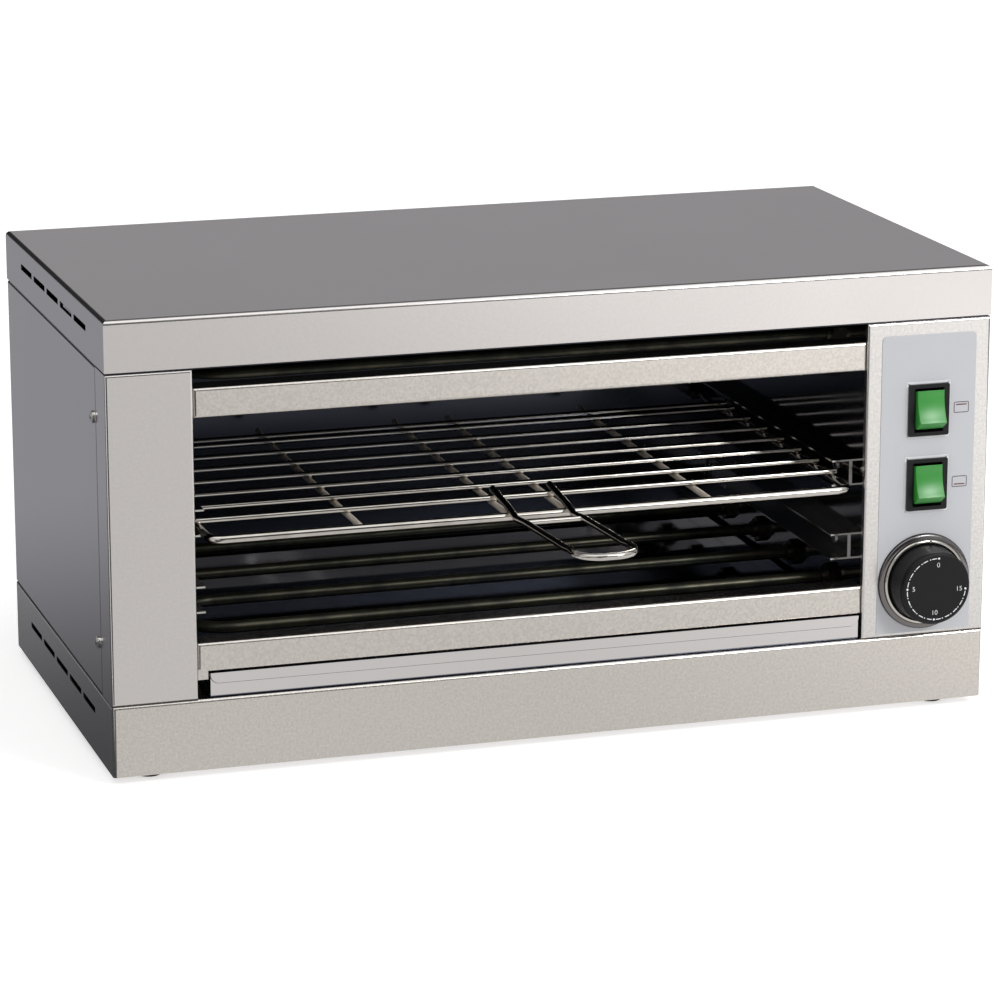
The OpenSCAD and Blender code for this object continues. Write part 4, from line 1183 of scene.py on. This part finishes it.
@dataclass
class PanelPrint:
    """What is printed on the overlay beside and round the switches.

    Attributes:
        icon_size: Width and height of a symbol.
        icon_stroke: Line width of a symbol.
        icon_corner: Radius of a symbol's corners.
        icon_gap: Gap between a switch and its symbol.
        icon_line: Width of the line in a symbol, as a share of the symbol's, and its height.
        bar_corner: Radius of that line's corners, as a share of its height.
        line_at: Height of that line off the symbol's middle, as a share of its height.
        borders: Width of the white line beside, above and under a switch.
        border_stroke: Line width of that border, as a share of its width above the switch.
        border_corner: Radius of its corners.
        proud: Height of the print above the overlay.
    """

    icon_size: Pair = (9.4 * MM, 6.6 * MM)
    icon_stroke: float = 0.5 * MM
    icon_corner: float = 0.9 * MM
    icon_gap: float = 3.6 * MM
    icon_line: Pair = (0.72, 0.7 * MM)
    bar_corner: float = 0.3
    line_at: float = 0.24
    borders: Point = (1.1 * MM, 1.5 * MM, 1.4 * MM)
    border_stroke: float = 1.3
    border_corner: float = 1.0 * MM
    proud: float = 0.05 * MM

    def outline(self, centre: Vector, size: Pair, stroke: float, corner: float, name: str) -> Piece:
        """Models a rounded rectangular outline facing forward.

        Args:
            centre: Its middle.
            size: Its width and height.
            stroke: Its line width.
            corner: Radius of its corners.
            name: Its name.

        Returns:
            The outline.
        """
        piece = card(centre, size, name)
        with editing(piece):
            round_corners(piece, anywhere, corner, 5)
            keep_line(piece, stroke)
        return piece

    def bar(self, centre: Vector, size: Pair, name: str) -> Piece:
        """Models a flat bar facing forward, with soft ends."""
        piece = card(centre, size, name)
        with editing(piece):
            round_corners(piece, anywhere, size[1] * self.bar_corner, 2)
        return piece

    def border(self, name: str, finishes: Finishes) -> None:
        """Builds the white line round a switch, upper or lower."""
        low, high = corners(name + "_switch_housing")
        beside, above, under = self.borders
        centre = (low + high) / 2 + Vector((0, 0, (above - under) / 2))
        centre.y = corners("control_overlay")[0].y - self.proud
        size = (high.x - low.x + 2 * beside, high.z - low.z + above + under)
        line = self.outline(
            centre, size, above * self.border_stroke, self.border_corner, name + "_switch_border")
        finish_piece(line, finishes[Trim.WHITE], "case")

    def symbol(self, name: str, side: int, finishes: Finishes) -> None:
        """Builds the symbol beside a switch: a box with a line near its top or bottom.

        Args:
            name: The switch, upper or lower.
            side: 1 for a line near the top, -1 for one near the bottom.
            finishes: The materials.
        """
        width, height = self.icon_size
        share, thickness = self.icon_line
        at = middle(name + "_switch_housing")
        at.x = corners(name + "_switch_housing")[1].x + self.icon_gap + width / 2
        at.y = corners("control_overlay")[0].y - self.proud
        icon = self.outline(at, self.icon_size, self.icon_stroke, self.icon_corner, name + "_symbol_frame")
        finish_piece(icon, finishes[Trim.GREY], "case")
        line_at = at + Vector((0, 0, side * height * self.line_at))
        line = self.bar(line_at, (width * share, thickness), name + "_symbol_line")
        finish_piece(line, finishes[Trim.RED], "case")

    def dress(self, finishes: Finishes) -> None:
        """Builds the symbols and the lines round both switches."""
        for name, side in (("upper", 1), ("lower", -1)):
            self.border(name, finishes)
            self.symbol(name, side, finishes)


@dataclass
class TrayFold:
    """Painted shadow: a dark line under the hem that is folded over the tray's front, standing in for the hem's
    contact shadow.

    Attributes:
        hem: Height of the hem.
        hem_t: Thickness of its sheet.
        corner: Radius of the line at both ends.
        stroke: Width of the line.
        wider: Width of the band that shows the line, as a share of it.
        hidden: How far the top of the line's outline lies under the hem's top.
        proud: Height of the line above the sheet that it lies on.
    """

    hem: float = 5.9 * MM
    hem_t: float = 0.8 * MM
    corner: float = 5.45 * MM
    stroke: float = 0.45 * MM
    wider: float = 1.3
    hidden: float = 0.3 * MM
    proud: float = 0.02 * MM

    def dress(self, finishes: Finishes) -> None:
        """Builds the painted shadow line on the face of the tray, under the hem."""
        low, high = corners("crumb_tray")
        bottom = high.z - self.hem - self.stroke
        top = high.z - self.hidden
        at = Vector(((low.x + high.x) / 2, low.y + self.hem_t - self.proud, (bottom + top) / 2))
        piece = card(at, (high.x - low.x + 2 * self.stroke, top - bottom), "tray_hem_shadow_line")
        with editing(piece):
            round_corners(piece, lambda at, way: at.z < bottom + self.stroke, self.corner, 6)
            keep_line(piece, self.stroke * self.wider)
        finish_piece(piece, finishes[Trim.FOLD], "tray")


@dataclass
class GridWelds:
    """The small flattened beads where the wires of the grid are welded.

    Attributes:
        bead: Radius of a bead.
        at_crossing: Its radii where two thin wires cross, as shares along X, Y and Z.
        at_side: The same where a cross wire meets the frame's side.
        at_front: The same at the front end of a depth wire.
        frame_d: Diameter of the frame wire.
        mesh_d: Diameter of the cross and depth wires.
        steps: Steps round a bead and from pole to pole.
    """

    bead: float = 0.95 * MM
    at_crossing: Point = (1.0, 1.0, 0.45)
    at_side: Point = (1.2, 1.0, 0.5)
    at_front: Point = (1.25, 1.0, 1.0)
    frame_d: float = 5.0 * MM
    mesh_d: float = 3.5 * MM
    steps: tuple[int, int] = (10, 6)

    def wires(self, node: str, along: int) -> list[tuple[Vector, Vector]]:
        """Returns the boxes of a node's separate wires.

        Args:
            node: Name of the construction node.
            along: Axis on which the wires lie side by side, 0 for X and 1 for Y.

        Returns:
            Lowest and highest corner of each wire.
        """
        groups: list[list[Vector]] = []
        for point in sorted((vertex.co for vertex in frame["nodes"][node].data.vertices),
                            key=lambda co: co[along]):
            if not groups or point[along] - groups[-1][-1][along] > self.mesh_d:
                groups.append([])
            groups[-1].append(point)
        return [(Vector([min(axis) for axis in zip(*group)]), Vector([max(axis) for axis in zip(*group)]))
                for group in groups]

    def blob(self, at: Point, shares: Point) -> Piece:
        """Models one bead."""
        size = tuple(self.bead * share for share in shares)
        return ball(Vector(at), size, self.steps, "bead")

    def dress(self, finishes: Finishes) -> None:
        """Builds the beads at every crossing."""
        frame_low, frame_high = corners("grid_frame")
        sides = (frame_low.x + self.frame_d / 2, frame_high.x - self.frame_d / 2)
        fronts = [((low.x + high.x) / 2, low.y, low.z + self.mesh_d / 2)
                  for low, high in self.wires("grid_depth_wires", 0)]
        beads = []
        for low, high in self.wires("grid_cross_wires", 1):
            y = (low.y + high.y) / 2
            beads += [self.blob((x, y, low.z), self.at_crossing) for x, _, _ in fronts]
            beads += [self.blob((x, y, low.z), self.at_side) for x in sides]
        beads += [self.blob(front, self.at_front) for front in fronts]
        piece = join(beads, "grid_welds")
        smooth(piece, KEEP_ROUND)
        finish_piece(piece, finishes[Trim.WELD], "grid")


# ---------------------------------------------------------------- studio


@dataclass(frozen=True)
class Floor:
    """The pale floor: white with the shadow to the camera, a graded card in the metal.

    The card is brighter in front and to the right, and dimmer behind and to
    the left. Its front half starts on the right of a slanted edge.

    Attributes:
        size: Width of the floor.
        colour: Its own colour.
        glow: What it glows to the camera, so that it looks white.
        front_edge: Share of the front half, along Y.
        left_step: How far that edge comes forward left of the casing, along X.
        right_end: Share of the front half before its right end, along X.
        front: Level of the front half, along X.
        apex: X and Y of the point that the slanted edge runs from.
        nearest: Smallest distance in front of that point, so that nothing is divided by 0.
        slant: Share right of the slanted edge, by X over distance from the apex.
        far_left: Level that the far left of the front half adds, on the same slant.
        rear: Level of the rear half, along Y.
        rear_right: Level that its right side adds, along X.
        rear_corner: Share of the rear half, along Y less X, for a dark line on the right bends.
        front_tint: Tint of the front half.
        rear_tint: Tint of the rear half.
    """

    size: float = 60.0
    colour: Colour = (0.92, 0.92, 0.92)
    glow: float = 0.55
    front_edge: Ramp = Ramp(1.0, 0.0, -0.10, -0.02)
    left_step: Ramp = Ramp(0.10, 0.0, -0.275, -0.255)
    right_end: Ramp = Ramp(1.0, 0.05, 0.98, 1.12)
    front: Ramp = Ramp(0.75, 1.38, 0.0, 0.82)
    apex: Pair = (-0.26, -0.13)
    nearest: float = 0.01
    slant: Ramp = Ramp(0.12, 1.0, -0.05, 0.12)
    far_left: Ramp = Ramp(0.85, 0.0, -1.7, -1.3)
    rear: Ramp = Ramp(0.08, 0.33, -0.05, 0.60)
    rear_right: Ramp = Ramp(0.0, 0.35, -0.10, 0.50)
    rear_corner: Ramp = Ramp(0.05, 1.0, -0.42, -0.25)
    front_tint: Colour = (1.0, 0.99, 0.975)
    rear_tint: Colour = (0.95, 0.96, 1.05)

    def mirrored(self, sheet: NodeSheet) -> bpy.types.Node:
        """Returns the light that the metal and the other surfaces get from the floor.

        Args:
            sheet: The floor's node sheet.

        Returns:
            The emission.
        """
        at = sheet.axes()
        ahead = sheet.ease(sheet.plus(at["Y"], sheet.ease(at["X"], self.left_step)), self.front_edge)
        before = sheet.reckon("MAXIMUM", sheet.less(self.apex[1], at["Y"]), self.nearest)
        slant = sheet.reckon("DIVIDE", sheet.less(at["X"], self.apex[0]), before)
        bright = sheet.times(sheet.ease(at["X"], self.front), sheet.ease(slant, self.slant))
        front = sheet.times(sheet.plus(bright, sheet.ease(slant, self.far_left)),
                            sheet.ease(at["X"], self.right_end))
        rear = sheet.times(sheet.plus(sheet.ease(at["Y"], self.rear), sheet.ease(at["X"], self.rear_right)),
                           sheet.ease(sheet.less(at["Y"], at["X"]), self.rear_corner))
        return sheet.add("Emission", {
            "Color": sheet.blend(ahead, self.rear_tint, self.front_tint),
            "Strength": sheet.between(ahead, front, rear)})

    def build(self) -> None:
        """Lays the floor."""
        clear_selection()
        bpy.ops.mesh.primitive_plane_add(size=self.size, location=(0, 0, 0))
        plane = active("studio_floor")
        sheet = NodeSheet.material("studio_floor")
        links = sheet.tree.links
        seen = sheet.add("AddShader")
        links.new(sheet.add("BsdfDiffuse", {"Color": self.colour}).outputs[0], seen.inputs[0])
        links.new(sheet.add("Emission", {"Color": WHITE, "Strength": self.glow}).outputs[0], seen.inputs[1])
        choice = sheet.add("MixShader", {"Fac": sheet.add("LightPath").outputs["Is Camera Ray"]})
        links.new(self.mirrored(sheet).outputs[0], choice.inputs[1])
        links.new(seen.outputs[0], choice.inputs[2])
        links.new(choice.outputs[0], sheet.tree.nodes["Material Output"].inputs["Surface"])
        plane.data.materials.append(sheet.owner)


@dataclass(frozen=True)
class Room:
    """The soft light of the room, by direction: dimmer behind, a soft box high in front.

    Attributes:
        front_edge: Share of the front, along Y.
        rear: Level of the rear.
        flag_right: Share of the dark flag in the rear, along X, at its right end.
        flag_left: The same at its left end.
        flag: How much of the light the flag takes away.
        high_edge: Share of the high rear, along Z.
        high_rear: Level of the high rear.
        right_wall: Level of the front, along X.
        left_wall: Level that its left side adds, along X.
        box_edge: Share of the soft box, along Z.
        box: Level of the soft box.
        rear_tint: Tint of the rear.
    """

    front_edge: Ramp = Ramp(1.0, 0.0, -0.02, 0.10)
    rear: float = 0.345
    flag_right: Ramp = Ramp(1.0, 0.0, 0.02, 0.12)
    flag_left: Ramp = Ramp(0.0, 1.0, -0.60, -0.45)
    flag: float = 0.93
    high_edge: Ramp = Ramp(0.0, 1.0, 0.30, 0.45)
    high_rear: float = 0.16
    right_wall: Ramp = Ramp(0.10, 0.65, 0.28, 0.42)
    left_wall: Ramp = Ramp(0.5, 0.0, -0.45, -0.25)
    box_edge: Ramp = Ramp(0.0, 1.0, 0.58, 0.68)
    box: float = 1.3
    rear_tint: Colour = (0.985, 0.975, 1.01)

    def build(self) -> None:
        """Fills the room with its light; the camera sees it white."""
        world = bpy.data.worlds.new("studio")
        bpy.context.scene.world = world
        sheet = NodeSheet(world)
        way = sheet.axes("Generated")
        ahead = sheet.ease(way["Y"], self.front_edge)
        flag = sheet.times(sheet.ease(way["X"], self.flag_right), sheet.ease(way["X"], self.flag_left))
        low_rear = sheet.times(self.rear, sheet.less(1.0, sheet.times(flag, self.flag)))
        rear = sheet.between(sheet.ease(way["Z"], self.high_edge), self.high_rear, low_rear)
        walls = sheet.plus(sheet.ease(way["X"], self.right_wall), sheet.ease(way["X"], self.left_wall))
        front = sheet.between(sheet.ease(way["Z"], self.box_edge), self.box, walls)
        seen = sheet.add("LightPath").outputs["Is Camera Ray"]
        sheet.set(
            Strength=sheet.reckon("MAXIMUM", sheet.between(ahead, front, rear), seen),
            Color=sheet.blend(seen, sheet.blend(ahead, self.rear_tint, WHITE), WHITE))


@dataclass(frozen=True)
class Lamp:
    """One square lamp.

    Attributes:
        name: Its name.
        at: Its place.
        size: Its width.
        watts: Its power.
        aim: The point that it faces.
    """

    name: str
    at: Point
    size: float
    watts: float
    aim: Point = (0.1, 0.0, 0.15)

    def build(self) -> None:
        """Hangs the lamp."""
        data = bpy.data.lights.new(self.name, "AREA")
        data.size = self.size
        data.energy = self.watts
        lamp = bpy.data.objects.new(self.name, data)
        bpy.context.scene.collection.objects.link(lamp)
        lamp.location = self.at
        lamp.rotation_euler = (Vector(self.at) - Vector(self.aim)).to_track_quat("Z", "Y").to_euler()


@dataclass
class Studio:
    """The pale floor, the soft light and the camera.

    Attributes:
        azimuth: Angle of the camera about +Z, 0 looking along +Y.
        elevation: Its angle above the horizon.
        position: Its place.
        lens: Its focal length in millimetres.
        sensor: Width of its sensor in millimetres.
        reach: How far it sees.
        lamps: The lamps.
    """

    azimuth: float = -17.487
    elevation: float = 14.422
    position: Point = (-0.70914, -2.21822, 0.72253)
    lens: float = 148.68
    sensor: float = 36.0
    reach: float = 200.0
    lamps: tuple[Lamp, ...] = (
        Lamp("soft_key", (1.25, -1.95, 1.45), 1.1, 12.0),
        Lamp("hard_key", (1.15, -2.0, 1.50), 0.45, 13.0))

    def camera(self) -> None:
        """Places the camera."""
        data = bpy.data.cameras.new("camera")
        data.lens = self.lens
        data.sensor_width = self.sensor
        data.clip_end = self.reach
        camera = bpy.data.objects.new("camera", data)
        bpy.context.scene.collection.objects.link(camera)
        camera.location = self.position
        camera.rotation_euler = (math.radians(90 - self.elevation), 0.0, math.radians(self.azimuth))
        bpy.context.scene.camera = camera

    def build(self) -> None:
        """Sets up the whole studio."""
        self.camera()
        Floor().build()
        Room().build()
        for lamp in self.lamps:
            lamp.build()
        bpy.context.scene.view_settings.view_transform = "Standard"
        log.info("studio ready")


# ---------------------------------------------------------------- assembly


@dataclass
class Melter:
    """The dressed melter.

    Attributes:
        finishes: The material of each slot and trim.
        special: The material of each node that has one of its own.
    """

    finishes: Finishes = field(default_factory=dict)
    special: dict[str, Material] = field(default_factory=dict)

    def make_finishes(self) -> None:
        """Builds each material once."""
        self.finishes = {slot: finish.build() for slot, finish in FINISHES.items()}
        built = {finish: finish.build() for finish in dict.fromkeys(NODE_FINISHES.values())}
        self.special = {node: built[finish] for node, finish in NODE_FINISHES.items()}

    def dress_nodes(self) -> None:
        """Gives every construction node its own finish or that of its slot."""
        slots = {item["node"]: Slot(item["material_slot"]) for item in frame["record"]["subparts"]}
        for node, obj in frame["nodes"].items():
            obj.data.materials.clear()
            obj.data.materials.append(self.special.get(node, self.finishes[slots[node]]))
            log.info("%s in %s", node, slots[node].value)

    def build(self) -> None:
        """Dresses the nodes and adds the modelled pieces."""
        self.make_finishes()
        self.dress_nodes()
        pieces = (
            Rocker("upper_rocker", "upper_rocker_button"),
            Rocker("lower_rocker", "lower_rocker_button"),
            DialScale(), DialRing(), PanelPrint(), PanelSeams(), TrayFold(), GridWelds())
        for piece in pieces:
            piece.dress(self.finishes)


def main() -> None:
    """Builds the melter and its studio."""
    logging.basicConfig(level=logging.INFO, format="%(name)s: %(message)s")
    Melter().build()
    Studio().build()


if __name__ == "__main__":
    main()
